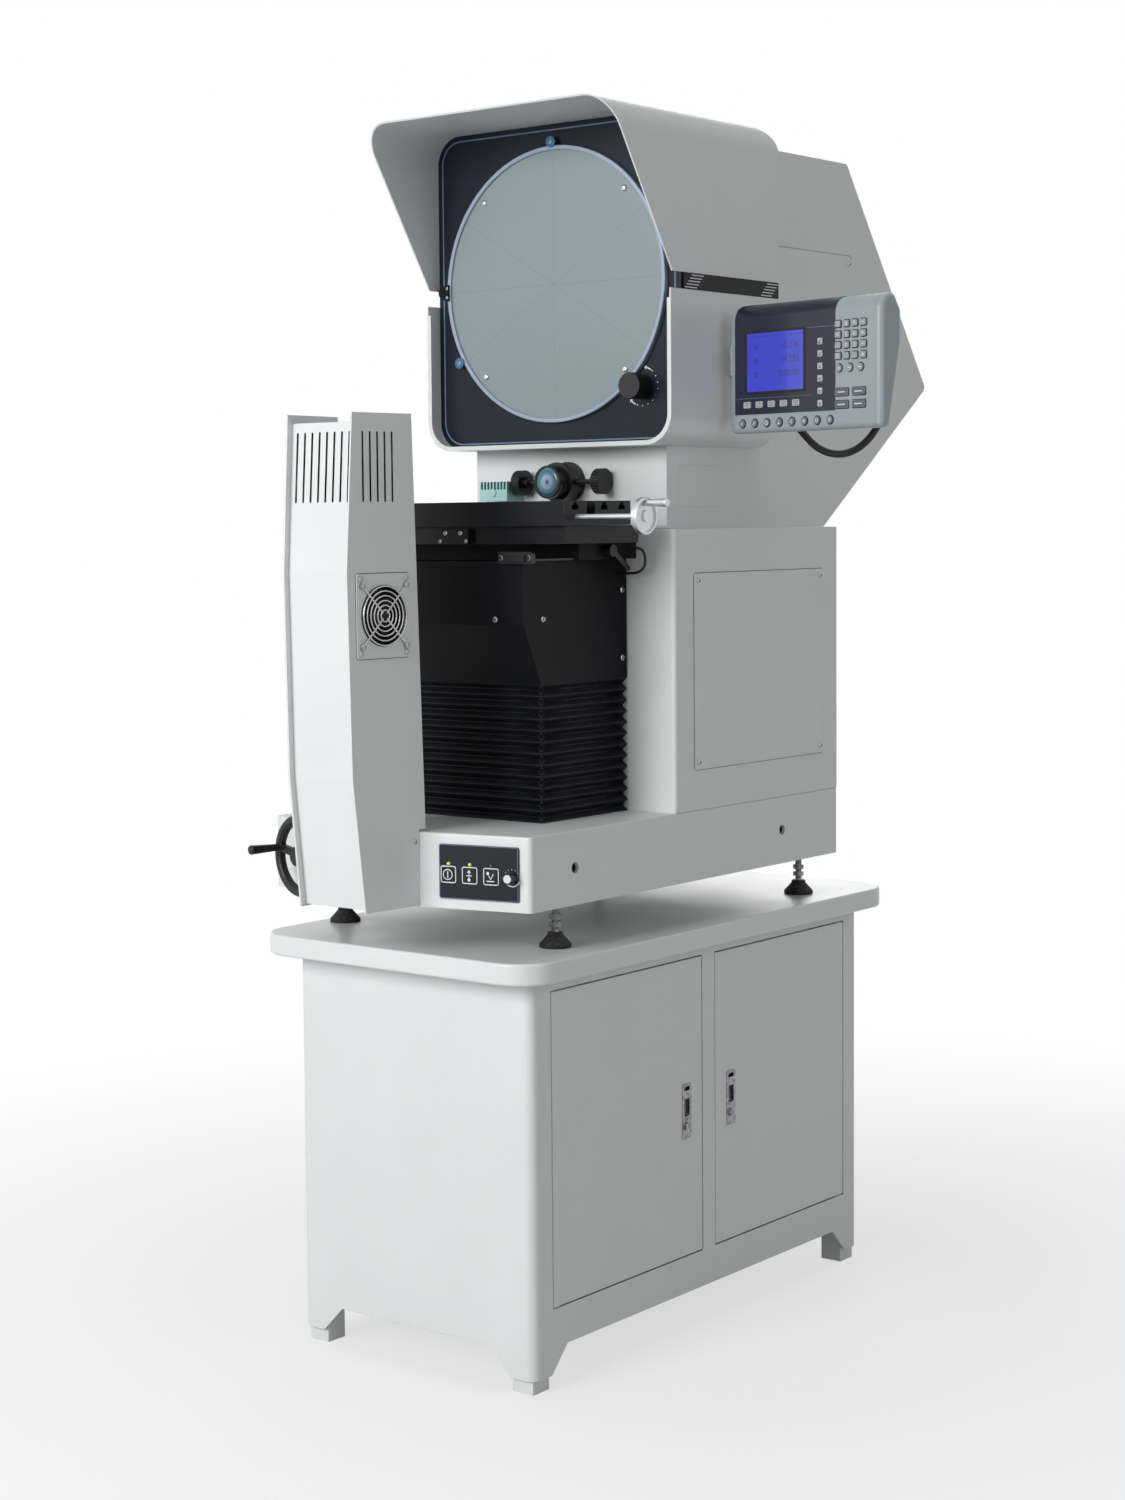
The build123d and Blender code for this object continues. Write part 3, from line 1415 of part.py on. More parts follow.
table_bottom = saddle_top + slide_gap
table_top = table_bottom + table_height
rear_rail_front_y = table_front_y + table_rail_depth + table_gap
table_rear_y = rear_rail_front_y + table_rear_depth
table_mid_y = (table_front_y + table_rear_y) / 2
slot_ys = (
    table_front_y + table_rail_depth / 2,
    rear_rail_front_y + table_rear_depth / 4,
    table_rear_y - table_rear_depth / 4,
)
with BuildPart() as stage_table:
    with BuildSketch(flank(-table_half_width)):
        Polygon(
            (table_front_y, table_bottom),
            (table_rear_y, table_bottom),
            (table_rear_y, table_top),
            (rear_rail_front_y, table_top),
            (rear_rail_front_y, table_bottom + table_web),
            (table_front_y + table_rail_depth, table_bottom + table_web),
            (table_front_y + table_rail_depth, table_top),
            (table_front_y, table_top),
            align=None,
        )
        for slot_y in slot_ys:
            with Locations((slot_y, table_top)):
                Rectangle(tee_neck, 2 * tee_neck_depth, mode=Mode.SUBTRACT)
            with Locations((slot_y, table_top - tee_neck_depth - tee_foot_depth / 2)):
                Rectangle(tee_foot, tee_foot_depth, mode=Mode.SUBTRACT)
    extrude(amount=2 * table_half_width)
    with BuildSketch(flank(table_half_width + 1, table_shaft_y, table_shaft_z)):
        Circle(table_shaft_radius + running_play)
    extrude(amount=-table_shaft_bore - 1, mode=Mode.SUBTRACT)
save(stage_table, "stage_table")

wheel_x = table_half_width + table_shaft_length
with BuildPart() as x_handwheel:
    with BuildSketch(flank(table_half_width - table_shaft_bore + 2, table_shaft_y, table_shaft_z)):
        Circle(table_shaft_radius)
    extrude(amount=table_shaft_length + table_shaft_bore - 2)
    with BuildSketch(flank(wheel_x, table_shaft_y, table_shaft_z)):
        Circle(table_wheel_radius)
    extrude(amount=table_wheel_thickness / 2, both=True)
    wheel_faces = x_handwheel.faces().sort_by(Axis.X)
    fillet(wheel_faces[-1].edges(), 2.5)
    with BuildSketch(flank(wheel_x + table_wheel_thickness / 2, table_shaft_y, table_shaft_z)):
        Circle(table_wheel_radius - table_wheel_rim)
        Circle(table_wheel_hub, mode=Mode.SUBTRACT)
    extrude(amount=-2.5, mode=Mode.SUBTRACT)
    with BuildSketch(flank(wheel_x, table_shaft_y, table_shaft_z)):
        with Locations((0, table_grip_offset)):
            Circle(table_pin_radius)
    extrude(amount=table_wheel_thickness / 2 + grip_gap + table_pin_reach)
save(x_handwheel, "x_handwheel")

grip_x = wheel_x + table_wheel_thickness / 2 + grip_gap
with BuildPart() as x_grip:
    with BuildSketch(flank(grip_x, table_shaft_y, table_shaft_z + table_grip_offset)):
        Circle(table_grip_radius)
    grip_taper = math.degrees(math.atan((table_grip_end - table_grip_radius) / table_grip_length))
    extrude(amount=table_grip_length, taper=-grip_taper)
    fillet(x_grip.faces().sort_by(Axis.X)[-1].edges(), 1.5)
    with BuildSketch(flank(grip_x - 1, table_shaft_y, table_shaft_z + table_grip_offset)):
        Circle(table_pin_radius + running_play)
    extrude(amount=table_pin_reach + 2, mode=Mode.SUBTRACT)
save(x_grip, "x_grip")

with BuildPart() as focus_knob:
    with BuildSketch(flank(-saddle_half_width - focus_knob_gap, focus_shaft_y, focus_axis_z)):
        Circle(focus_knob_radius)
        with PolarLocations(focus_knob_radius + 0.4, 24):
            Circle(1.2, mode=Mode.SUBTRACT)
    extrude(amount=-focus_knob_thickness)
    with BuildSketch(flank(-saddle_half_width - focus_knob_gap, focus_shaft_y, focus_axis_z)):
        Circle(focus_shaft_radius)
    extrude(amount=focus_bore + focus_knob_gap - 4)
save(focus_knob, "focus_knob")

# Fittings on the bed: connector on its angle, and the clamp lever
with BuildPart() as stage_fittings:
    angle_mid_y = (connector_front_y + connector_depth + bed_front_y) / 2
    angle_length = bed_front_y - connector_front_y - connector_depth
    with BuildSketch(level(box_top + slide_gap, connector_x, angle_mid_y)):
        Rectangle(connector_width - 16, angle_length)
    extrude(amount=connector_plate)
    with BuildSketch(
        facing(connector_front_y + connector_depth, connector_x, box_top + connector_rise)
    ):
        RectangleRounded(connector_width, connector_height, 3)
    extrude(amount=connector_depth)
    with BuildSketch(facing(connector_front_y, connector_x, box_top + connector_rise)):
        RectangleRounded(connector_width - 22, connector_height - 6, 2)
    extrude(amount=3)
    with BuildSketch(facing(connector_front_y, connector_x, box_top + connector_rise)):
        with GridLocations(connector_width - 10, 0, 2, 1):
            Circle(3)
    extrude(amount=2)
    with BuildSketch(flank(bed_half_width, lever_y, lever_z)):
        Circle(lever_hub_radius)
    extrude(amount=lever_hub_length)
    with BuildSketch(flank(bed_half_width + 3, lever_y, lever_z)):
        with Locations((lever_length / 2 * math.cos(lever_lean), -lever_length / 2 * math.sin(lever_lean))):
            SlotCenterToCenter(lever_length, lever_width, rotation=-math.degrees(lever_lean))
    extrude(amount=lever_hub_length - 4)
save(stage_fittings, "stage_fittings")


def rounding(points):
    # Radius of each bend, from the shorter of its two straight runs and its turning angle.
    radii = []
    for before, here, after in zip(points, points[1:], points[2:]):
        run_in = Vector(*here) - Vector(*before)
        run_out = Vector(*after) - Vector(*here)
        half_turn = math.radians(run_in.get_angle(run_out)) / 2
        shorter = min(run_in.length, run_out.length)
        radii.append(0.45 * shorter / math.tan(half_turn))
    return radii


def cord_points(path):
    return [(mid_x + x, front_y + y, z) for x, y, z in path]


# Short cable from the bed's end back into the lift box
cable_path = cord_points(
    [
        (bed_half_width, cable_y, bed_top - 7),
        (bed_half_width + 20, cable_y, bed_top - 7),
        (bed_half_width + 29, cable_y - 2, bed_top - 26),
        (bed_half_width + 24, cable_y - 4, bed_top - 42),
        (bed_half_width + 4, cable_y - 4, box_top - cable_entry_drop),
        (lift_half_width, cable_y - 4, box_top - cable_entry_drop),
    ]
)
cable_radii = rounding(cable_path)
with BuildPart() as stage_cable:
    with BuildLine() as cable_line:
        FilletPolyline(*cable_path, radius=cable_radii)
    with BuildSketch(Plane(cable_path[0], z_dir=cable_line.line % 0)):
        Circle(cable_diameter / 2)
    sweep(path=cable_line.line)
save(stage_cable, "stage_cable")

# Lamp tower: two plates that spread toward the back, with sheet covers between them
spread = math.radians(tower_spread)


def tower_plate(side, out=0.0):
    # Sketch x runs backward from the front foot of the plate, sketch y is height.
    x = side * tower_front_half_width
    y = tower_foot_front_y
    normal = (side * math.cos(spread), -math.sin(spread), 0)
    return Plane(
        (mid_x + x + normal[0] * out, front_y + y + normal[1] * out, 0),
        x_dir=(math.sin(spread), side * math.cos(spread), 0),
        z_dir=normal,
    )


def tower_outline(side, front_inset, top_inset):
    # Distances behind the front foot are stretched along the slanting plate.
    foot_y = nose_y - tower_base_gap
    corners = (
        (tower_foot_front_y + front_inset, tower_bottom + top_inset / 4),
        (tower_low_front_y + front_inset, tower_low_z),
        (tower_high_front_y + front_inset, tower_high_z),
        (tower_head_front_y + front_inset, tower_top - top_inset),
        (tower_head_rear_y - top_inset / 4, tower_top - top_inset),
        (tower_rear_y - top_inset / 4, tower_notch_z),
        (foot_y, tower_notch_z),
        (foot_y, tower_bottom + top_inset / 4),
    )
    stretch = side / math.cos(spread)
    points = [((y - tower_foot_front_y) * stretch, z) for y, z in corners]
    Polygon(*points, align=None)


fan_u = (fan_center_y - tower_foot_front_y) / math.cos(spread)
with BuildPart() as tower_side_plates:
    for side in (-1, 1):
        with BuildSketch(tower_plate(side)):
            tower_outline(side, 0, 0)
        extrude(amount=-tower_sheet)
        with BuildSketch(tower_plate(side, 1)):
            for n in range(side_slots):
                offset_y = side_slot_center_y + (n - (side_slots - 1) / 2) * slot_pitch
                slot_u = side * (offset_y - tower_foot_front_y) / math.cos(spread)
                with Locations((slot_u, (slot_bottom + slot_top) / 2)):
                    SlotOverall(slot_top - slot_bottom, slot_width, rotation=90)
        extrude(amount=-tower_sheet - 2, mode=Mode.SUBTRACT)
    with BuildSketch(tower_plate(1, 1)):
        with Locations((fan_u, fan_center_z)):
            Rectangle(fan_side + 1, fan_side + 1)
    extrude(amount=-tower_sheet - 2, mode=Mode.SUBTRACT)
save(tower_side_plates, "tower_side_plates")

room_front_half = tower_front_half_width - tower_sheet / math.cos(spread)
with BuildPart() as tower_covers:
    with BuildSketch(flank(-2 * tower_front_half_width)):
        cover_outline = [
            (tower_foot_front_y + cover_recess, tower_bottom + 3),
            (tower_low_front_y + cover_recess, tower_low_z),
            (tower_high_front_y + cover_recess, tower_high_z),
            (tower_head_front_y + cover_recess, tower_top - 12),
            (tower_head_rear_y - 3, tower_top - 12),
            (tower_rear_y - 3, tower_notch_z + 0.5),
            (nose_y - 1, tower_notch_z + 0.5),
            (nose_y - 1, tower_bottom + 3),
        ]
        Polygon(*cover_outline, align=None)
    extrude(amount=4 * tower_front_half_width)
    with BuildSketch(flank(-2 * tower_front_half_width)):
        Polygon(*cover_outline, align=None)
        offset(amount=-cover_sheet, kind=Kind.INTERSECTION, mode=Mode.REPLACE)
    extrude(amount=4 * tower_front_half_width, mode=Mode.SUBTRACT)
    with BuildSketch(level(tower_bottom)):
        front_reach = tower_high_front_y - 10
        spread_front = room_front_half + (front_reach - tower_foot_front_y) * math.tan(spread)
        spread_rear = room_front_half + (10 - tower_foot_front_y) * math.tan(spread)
        Polygon(
            (-spread_front, front_reach),
            (spread_front, front_reach),
            (spread_rear, 10),
            (-spread_rear, 10),
            align=None,
        )
    extrude(amount=tower_top - tower_bottom, mode=Mode.INTERSECT)
    with BuildSketch(facing(tower_high_front_y + 40, 0, (slot_bottom + slot_top) / 2)):
        with GridLocations(slot_pitch, 0, front_slots, 1):
            SlotOverall(slot_top - slot_bottom, slot_width, rotation=90)
    extrude(amount=60, mode=Mode.SUBTRACT)
    with BuildSketch(facing(10, 0, lens_z)):
        Circle(condenser_radius)
    extrude(amount=80, mode=Mode.SUBTRACT)
save(tower_covers, "tower_covers")

# Fan: mounting plate with the frame, wire guard and rotor
with BuildPart() as fan_mount:
    with BuildSketch(tower_plate(1)):
        with Locations((fan_u, fan_center_z)):
            RectangleRounded(fan_plate_width, fan_plate_height, 4)
            Circle(fan_opening_radius, mode=Mode.SUBTRACT)
    extrude(amount=fan_plate)
    with BuildSketch(tower_plate(1)):
        with Locations((fan_u, fan_center_z)):
            Rectangle(fan_side, fan_side)
            Circle(fan_opening_radius, mode=Mode.SUBTRACT)
    extrude(amount=-fan_depth)
    with BuildSketch(tower_plate(1, -fan_depth)):
        with Locations((fan_u, fan_center_z)):
            Circle(fan_hub_radius)
            with PolarLocations(fan_opening_radius / 2 + 2, 3, start_angle=30):
                Rectangle(fan_opening_radius + 2, 5)
    extrude(amount=fan_strut)
    with BuildSketch(tower_plate(1, -fan_depth)):
        with Locations((fan_u, fan_center_z)):
            Circle(fan_pin_radius)
    extrude(amount=fan_strut + fan_pin_reach - 1)
    with BuildSketch(tower_plate(1, fan_plate)):
        with Locations((fan_u, fan_center_z)):
            with GridLocations(fan_plate_width - 14, fan_plate_height - 14, 2, 2):
                Circle(screw_head_radius)
    extrude(amount=screw_head_height)
save(fan_mount, "fan_mount")

guard_origin = tower_plate(1, fan_plate + guard_lift).from_local_coords((fan_u, fan_center_z, 0))
fan_out = (math.cos(spread), -math.sin(spread), 0)
fan_across = (math.sin(spread), math.cos(spread), 0)
guard_plane = Plane(guard_origin, x_dir=fan_across, z_dir=fan_out)
with BuildPart() as fan_guard:
    with Locations(guard_plane.location):
        for ring in guard_rings:
            Torus(ring, guard_wire)
    with BuildSketch(guard_plane.offset(-guard_wire)):
        with PolarLocations(guard_arm_mid_radius, guard_arms, start_angle=45):
            SlotOverall(guard_arm_length, 2 * guard_wire)
    extrude(amount=guard_wire)
    with BuildSketch(guard_plane.offset(-guard_lift)):
        with GridLocations(fan_hole_spacing, fan_hole_spacing, 2, 2):
            Circle(guard_foot_radius)
    extrude(amount=guard_lift + guard_wire)
save(fan_guard, "fan_guard")

hub_plane = guard_plane.offset(fan_strut + fan_gap - fan_depth - fan_plate - guard_lift)
with BuildPart() as fan_rotor:
    with BuildSketch(hub_plane):
        Circle(fan_hub_radius)
    extrude(amount=fan_rotor_depth)
    fillet(fan_rotor.faces().sort_by(Axis.X)[-1].edges(), 2)
    for n in range(fan_blades):
        angle = 2 * math.pi * n / fan_blades
        outward = hub_plane.x_dir * math.cos(angle) + hub_plane.y_dir * math.sin(angle)
        blade_root = hub_plane.offset(blade_center).origin + outward * (fan_hub_radius - 3)
        with BuildSketch(Plane(blade_root, x_dir=hub_plane.z_dir, z_dir=outward)):
            Rectangle(blade_chord, blade_thickness, rotation=blade_pitch)
        extrude(amount=fan_rotor_radius - fan_hub_radius + 3)
    with BuildSketch(hub_plane.offset(-1)):
        Circle(fan_pin_radius + running_play)
    extrude(amount=fan_pin_reach + 1, mode=Mode.SUBTRACT)
save(fan_rotor, "fan_rotor")

# Contour light: lamp house, condenser barrel and lens, pointing at the projection lens
with BuildPart() as contour_light:
    with BuildSketch(facing(condenser_rear_y, 0, lens_z)):
        Circle(condenser_radius - 0.5)
        Circle(condenser_radius - 4, mode=Mode.SUBTRACT)
    extrude(amount=condenser_rear_y - condenser_front_y)
    with BuildSketch(facing(condenser_rear_y - 2, 0, lens_z)):
        Circle(condenser_radius - 4)
    extrude(amount=condenser_glass)
    with BuildSketch(facing(condenser_front_y, 0, lens_z)):
        Circle(condenser_radius - 0.5)
    extrude(amount=lamp_house_depth)
    lamp_post_top = lens_z - condenser_radius + 4
    lamp_foot_top = lamp_post_top - lamp_post_height + lamp_foot_height
    cover_lean = (tower_head_front_y - tower_high_front_y) / (tower_top - 12 - tower_high_z)
    lamp_foot_y = tower_high_front_y + cover_recess + cover_sheet + seam_gap
    lamp_foot_y += cover_lean * (lamp_foot_top - tower_high_z)
    with BuildSketch(level(lamp_post_top, 0, condenser_front_y - lamp_house_depth / 2)):
        Rectangle(16, lamp_house_depth)
    extrude(amount=-lamp_post_height)
    lamp_post_y = condenser_front_y - lamp_house_depth / 2
    with BuildSketch(facing(lamp_post_y, 0, lamp_foot_top - lamp_foot_height / 2)):
        Rectangle(16, lamp_foot_height)
    extrude(amount=lamp_post_y - lamp_foot_y)
save(contour_light, "contour_light")


# Digital readout: a case on a tilting bracket beside the screen
def readout(u=0.0, h=0.0, out=0.0):
    # Sketch x runs along the case front, sketch y up, extrusions come out toward the operator.
    along = (math.cos(turn), -math.sin(turn), 0)
    normal = (-math.sin(turn), -math.cos(turn), 0)
    return Plane(
        (
            mid_x + display_x + u * along[0] + out * normal[0],
            front_y + display_y + u * along[1] + out * normal[1],
            display_bottom + h,
        ),
        x_dir=along,
        z_dir=normal,
    )


def readout_side(u):
    # Sketch x runs backward from the front face, sketch y up, extrusions go to the right end.
    start = readout(u)
    return Plane(start.origin, x_dir=-start.z_dir, z_dir=start.x_dir)


case_profile = (
    (0, 0),
    (0, display_height),
    (display_top_depth, display_height),
    (display_depth, display_back_top),
    (display_depth, display_back_bottom),
    (display_foot_depth, 0),
)
number_columns = [number_key_left + n * number_pitch_x for n in range(4)]
number_rows = [number_key_top - n * number_pitch_y for n in range(4)]
round_columns = [round_key_left + n * round_key_pitch for n in range(3)]
wide_columns = [wide_key_left + n * wide_key_pitch_x for n in range(2)]
wide_rows = [wide_key_top - n * wide_key_pitch_y for n in range(2)]
menu_columns = [menu_key_left + n * menu_key_pitch for n in range(menu_key_count)]
side_rows = [side_key_top - n * side_key_pitch for n in range(side_key_count)]
shape_columns = [shape_key_left + n * shape_key_pitch for n in range(shape_key_count)]
number_spots = [(x, y) for x in number_columns for y in number_rows]
wide_spots = [(x, y) for x in wide_columns for y in wide_rows]


def number_group(grow):
    with Locations(*number_spots):
        RectangleRounded(number_key_width + grow, number_key_height + grow, 1.5)
    with Locations(*[(x, round_key_y) for x in round_columns]):
        Circle(round_key_radius + grow / 2)
    with Locations(*wide_spots):
        RectangleRounded(wide_key_width + grow, wide_key_height + grow, 1.5)


def menu_group(grow):
    with Locations(*[(x, menu_key_y) for x in menu_columns]):
        RectangleRounded(menu_key_width + grow, menu_key_height + grow, 1.5)
    with Locations(*[(side_key_x, y) for y in side_rows]):
        RectangleRounded(side_key_side + grow, side_key_side + grow, 1.5)


def shape_group(grow):
    with Locations(*[(x, shape_key_y) for x in shape_columns]):
        Circle(shape_key_radius + grow / 2)


window_mid = (window_left + window_width / 2, window_bottom + window_height / 2)
with BuildPart() as display_case:
    with BuildSketch(readout_side(0)):
        Polygon(*case_profile, align=None)
    extrude(amount=display_width)
    fillet(display_case.edges().filter_by(Plane(
        (0, 0, 0), z_dir=readout().x_dir
    ), reverse=False), case_round)
    with BuildSketch(readout_side(case_wall)):
        Polygon(*case_profile, align=None)
        offset(amount=-case_wall, kind=Kind.INTERSECTION, mode=Mode.REPLACE)
    extrude(amount=display_width - 2 * case_wall, mode=Mode.SUBTRACT)
    with BuildSketch(readout(0, 0, 1)):
        number_group(2 * key_play)
        menu_group(2 * key_play)
        shape_group(2 * key_play)
        with Locations(window_mid):
            Rectangle(window_width, window_height)
    extrude(amount=-case_wall - 2, mode=Mode.SUBTRACT)
    with BuildSketch(readout(conduit_u, conduit_height, -display_depth - 1)):
        Circle(conduit_hole_radius)
    extrude(amount=display_depth - conduit_depth + 1, mode=Mode.SUBTRACT)
    for ear_u in (arm_ear_left, arm_ear_right):
        with BuildSketch(readout_side(ear_u)):
            with Locations(((display_depth + arm_behind) / 2, arm_height)):
                Rectangle(arm_behind - display_depth, 2 * arm_boss_radius)
            with Locations((arm_behind, arm_height)):
                Circle(arm_boss_radius)
        extrude(amount=ear_width)
        with BuildSketch(readout_side(ear_u - 1)):
            with Locations((arm_behind, arm_height)):
                Circle(arm_radius + running_play)
        extrude(amount=ear_width + 2, mode=Mode.SUBTRACT)
save(display_case, "display_case")

fascia_mid_x = (display_fascia_left + display_fascia_right) / 2
fascia_mid_y = (display_fascia_bottom + display_height) / 2
with BuildPart() as display_window:
    with BuildSketch(readout()):
        with Locations((fascia_mid_x, fascia_mid_y)):
            RectangleRounded(
                display_fascia_right - display_fascia_left,
                display_height - display_fascia_bottom - 2 * case_round,
                3,
            )
        menu_group_spots = [(x, menu_key_y) for x in menu_columns]
        with Locations(*menu_group_spots):
            RectangleRounded(menu_key_width + 1, menu_key_height + 1, 1.5, mode=Mode.SUBTRACT)
        with Locations(*[(side_key_x, y) for y in side_rows]):
            RectangleRounded(side_key_side + 1, side_key_side + 1, 1.5, mode=Mode.SUBTRACT)
        with Locations(window_mid):
            Rectangle(window_width - 6, window_height - 6, mode=Mode.SUBTRACT)
    extrude(amount=fascia_plate)
    with BuildSketch(readout()):
        with Locations(window_mid):
            Rectangle(window_width - 0.4, window_height - 0.4)
    extrude(amount=-window_plate)
save(display_window, "display_window")

key_names = ("number_keys", "menu_keys", "shape_keys")
key_groups = (number_group, menu_group, shape_group)
web_boxes = (
    ((number_columns[0] + number_columns[-1]) / 2, (number_rows[0] + wide_rows[-1]) / 2, 60, 118),
    (0, 0, 0, 0),
    ((shape_columns[0] + shape_columns[-1]) / 2, shape_key_y, 190, 13),
)
for index in range(3):
    web = web_boxes[index]
    with BuildPart() as keys:
        with BuildSketch(readout(0, 0, -case_wall - key_web_gap)):
            if index == 1:
                with Locations(((menu_columns[0] + side_key_x) / 2, menu_key_y)):
                    Rectangle(side_key_x - menu_columns[0] + 8, 8)
                with Locations((side_key_x, (side_rows[0] + side_rows[-1]) / 2)):
                    Rectangle(8, side_rows[0] - side_rows[-1] + 8)
            else:
                with Locations((web[0], web[1])):
                    Rectangle(web[2], web[3])
        extrude(amount=-key_web)
        with BuildSketch(readout(0, 0, -case_wall - key_web_gap - key_web)):
            key_groups[index](0)
        extrude(amount=case_wall + key_web_gap + key_web + key_rise)
    save(keys, key_names[index])

# Bracket: plate on the head's flank and the bar the case tilts on
with BuildPart() as display_bracket:
    bar_start = readout_side(-arm_reach)
    with BuildSketch(bar_start):
        with Locations((arm_behind, arm_height)):
            Circle(arm_radius)
    extrude(amount=arm_reach + arm_ear_right + ear_width + 6)
    bar_y = bar_start.from_local_coords((arm_behind, arm_height, 0)).Y - front_y
    bar_z = display_bottom + arm_height
    with BuildSketch(flank(head_half_width, bar_y, bar_z)):
        RectangleRounded(arm_plate_width, arm_plate_height, 4)
    extrude(amount=arm_plate)
    with BuildSketch(flank(head_half_width, bar_y, bar_z)):
        Circle(arm_boss_radius + 3)
    extrude(amount=arm_plate + 8)
    with BuildSketch(flank(head_half_width + arm_plate, bar_y, bar_z)):
        with GridLocations(arm_plate_width - 14, arm_plate_height - 14, 2, 2):
            Circle(screw_head_radius)
    extrude(amount=screw_head_height)
save(display_bracket, "display_bracket")

# Corrugated conduit from the head's flank to the back of the case
conduit_end = readout_side(conduit_u).from_local_coords((conduit_depth, conduit_height, 0))
end_x = conduit_end.X - mid_x
end_y = conduit_end.Y - front_y
end_z = conduit_end.Z
conduit_path = cord_points(
    [
        (head_half_width, conduit_y, conduit_z),
        (head_half_width + 29, conduit_y, conduit_z),
        (head_half_width + 57, conduit_y - 1.5, conduit_z - 11),
        (head_half_width + 80, conduit_y - 4.5, conduit_z - 34),
        (head_half_width + 106, conduit_y - 9, conduit_z - 56),
        (head_half_width + 139, conduit_y - 14, conduit_z - 67),
        (head_half_width + 174, conduit_y - 19, conduit_z - 64),
        (head_half_width + 205, conduit_y - 23, conduit_z - 46),
        (end_x - 1, end_y + 100, end_z - 76.5),
        (end_x + 9, end_y + 94, end_z - 45),
        (end_x + 12, end_y + 76, end_z - 17.5),
        (end_x + 10.5, end_y + 48, end_z - 2),
        (end_x + 6, end_y + 23, end_z + 0.5),
        (end_x, end_y, end_z),
    ]
)
conduit_radii = rounding(conduit_path)
with BuildPart() as display_conduit:
    with BuildLine() as conduit_line:
        FilletPolyline(*conduit_path, radius=conduit_radii)
    with BuildSketch(Plane(conduit_path[0], z_dir=conduit_line.line % 0)):
        Circle(conduit_diameter / 2)
    sweep(path=conduit_line.line)
save(display_conduit, "display_conduit")

print("stage cable radii", [round(radius, 2) for radius in cable_radii])
print("conduit radii", [round(radius, 2) for radius in conduit_radii])
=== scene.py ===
import bpy
import bmesh
import math
from mathutils import Matrix, Vector


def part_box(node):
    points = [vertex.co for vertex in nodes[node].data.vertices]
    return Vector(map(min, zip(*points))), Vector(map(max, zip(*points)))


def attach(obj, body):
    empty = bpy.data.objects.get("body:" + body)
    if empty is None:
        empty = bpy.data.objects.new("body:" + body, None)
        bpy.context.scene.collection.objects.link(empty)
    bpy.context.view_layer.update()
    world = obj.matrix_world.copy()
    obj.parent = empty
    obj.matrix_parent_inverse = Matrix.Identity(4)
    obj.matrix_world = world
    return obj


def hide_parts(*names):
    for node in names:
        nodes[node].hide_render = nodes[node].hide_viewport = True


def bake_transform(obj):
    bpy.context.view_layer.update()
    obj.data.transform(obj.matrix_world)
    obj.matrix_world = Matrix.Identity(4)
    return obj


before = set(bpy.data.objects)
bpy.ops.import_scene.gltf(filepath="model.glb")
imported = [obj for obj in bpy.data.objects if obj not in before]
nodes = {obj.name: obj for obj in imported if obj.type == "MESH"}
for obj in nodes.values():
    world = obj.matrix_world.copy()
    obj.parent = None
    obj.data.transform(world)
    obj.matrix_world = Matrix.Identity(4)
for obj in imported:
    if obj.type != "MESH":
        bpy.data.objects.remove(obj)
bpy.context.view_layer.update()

glassLow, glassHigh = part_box("screen_glass")
homeX = (glassLow.x + glassHigh.x) / 2
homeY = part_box("cabinet_body")[0].y


def at(x, y, z):  # millimetres: x from the screen's middle, y back from the cabinet's front, z from the floor
    return Vector((homeX + x / 1000, homeY + y / 1000, z / 1000))


# camera and studio

cameraView = {"spot": (2389.3, -2726.1, 1215.3), "yaw": 39.28, "down": 4.31, "roll": 0.62,
              "lens": 61.45, "shift": (0.0517, -0.0238)}
studio = {"lamps": {"key": ((-0.6, -5.0, 1.5), 2.6, 205), "fill": ((4.2, -1.2, 1.6), 2.8, 24),
                    "top": ((0.2, 0.6, 4.3), 2.8, 22), "rear": ((-2.6, 4.6, 2.0), 2.8, 60)},
          "aim": (0, 430, 950), "sky": 0.24, "floorHalf": 14, "floorColour": (0.62, 0.62, 0.62),
          "fadeFrom": 0.5, "fadeTo": 2.2, "fadeLow": 0.66}


def addObject(name, data):
    made = bpy.data.objects.new(name, data)
    bpy.context.scene.collection.objects.link(made)
    return made


def emptyTree(owner):
    owner.use_nodes = True
    owner.node_tree.nodes.clear()
    return owner.node_tree


def setCamera(view):
    yaw, down, roll = (math.radians(view[key]) for key in ("yaw", "down", "roll"))
    ahead = Vector((-math.sin(yaw) * math.cos(down), math.cos(yaw) * math.cos(down), -math.sin(down)))
    level = Vector((math.cos(yaw), math.sin(yaw), 0))
    up = level.cross(ahead)
    right = level * math.cos(roll) - up * math.sin(roll)
    above = level * math.sin(roll) + up * math.cos(roll)
    data = bpy.data.cameras.new("photoView")
    data.lens = view["lens"]
    data.shift_x, data.shift_y = view["shift"]
    data.clip_start, data.clip_end = 0.1, 60
    eye = addObject("photoView", data)
    turned = Matrix((right, above, -ahead)).transposed().to_4x4()
    eye.matrix_world = Matrix.Translation(at(*view["spot"])) @ turned
    bpy.context.scene.camera = eye


def softLamp(name, place, size, power):
    data = bpy.data.lights.new(name, "AREA")
    data.shape, data.size, data.energy = "DISK", size, power
    lamp = addObject(name, data)
    lamp.location = at(*studio["aim"]) + Vector(place)
    lamp.rotation_euler = (-Vector(place)).to_track_quat("-Z", "Y").to_euler()


def put(tree, kind, inputs=None, **settings):
    made = tree.nodes.new(kind)
    for name, value in settings.items():
        setattr(made, name, value)
    for key, value in (inputs or {}).items():
        if isinstance(value, bpy.types.NodeSocket):
            tree.links.new(value, made.inputs[key])
        else:
            made.inputs[key].default_value = value
    return made


def calc(tree, operation, first, second=0.5, clamp=False):
    return put(tree, "ShaderNodeMath", {0: first, 1: second}, operation=operation, use_clamp=clamp).outputs[0]


def product(tree, first, *others):
    for value in others:
        first = calc(tree, "MULTIPLY", first, value)
    return first


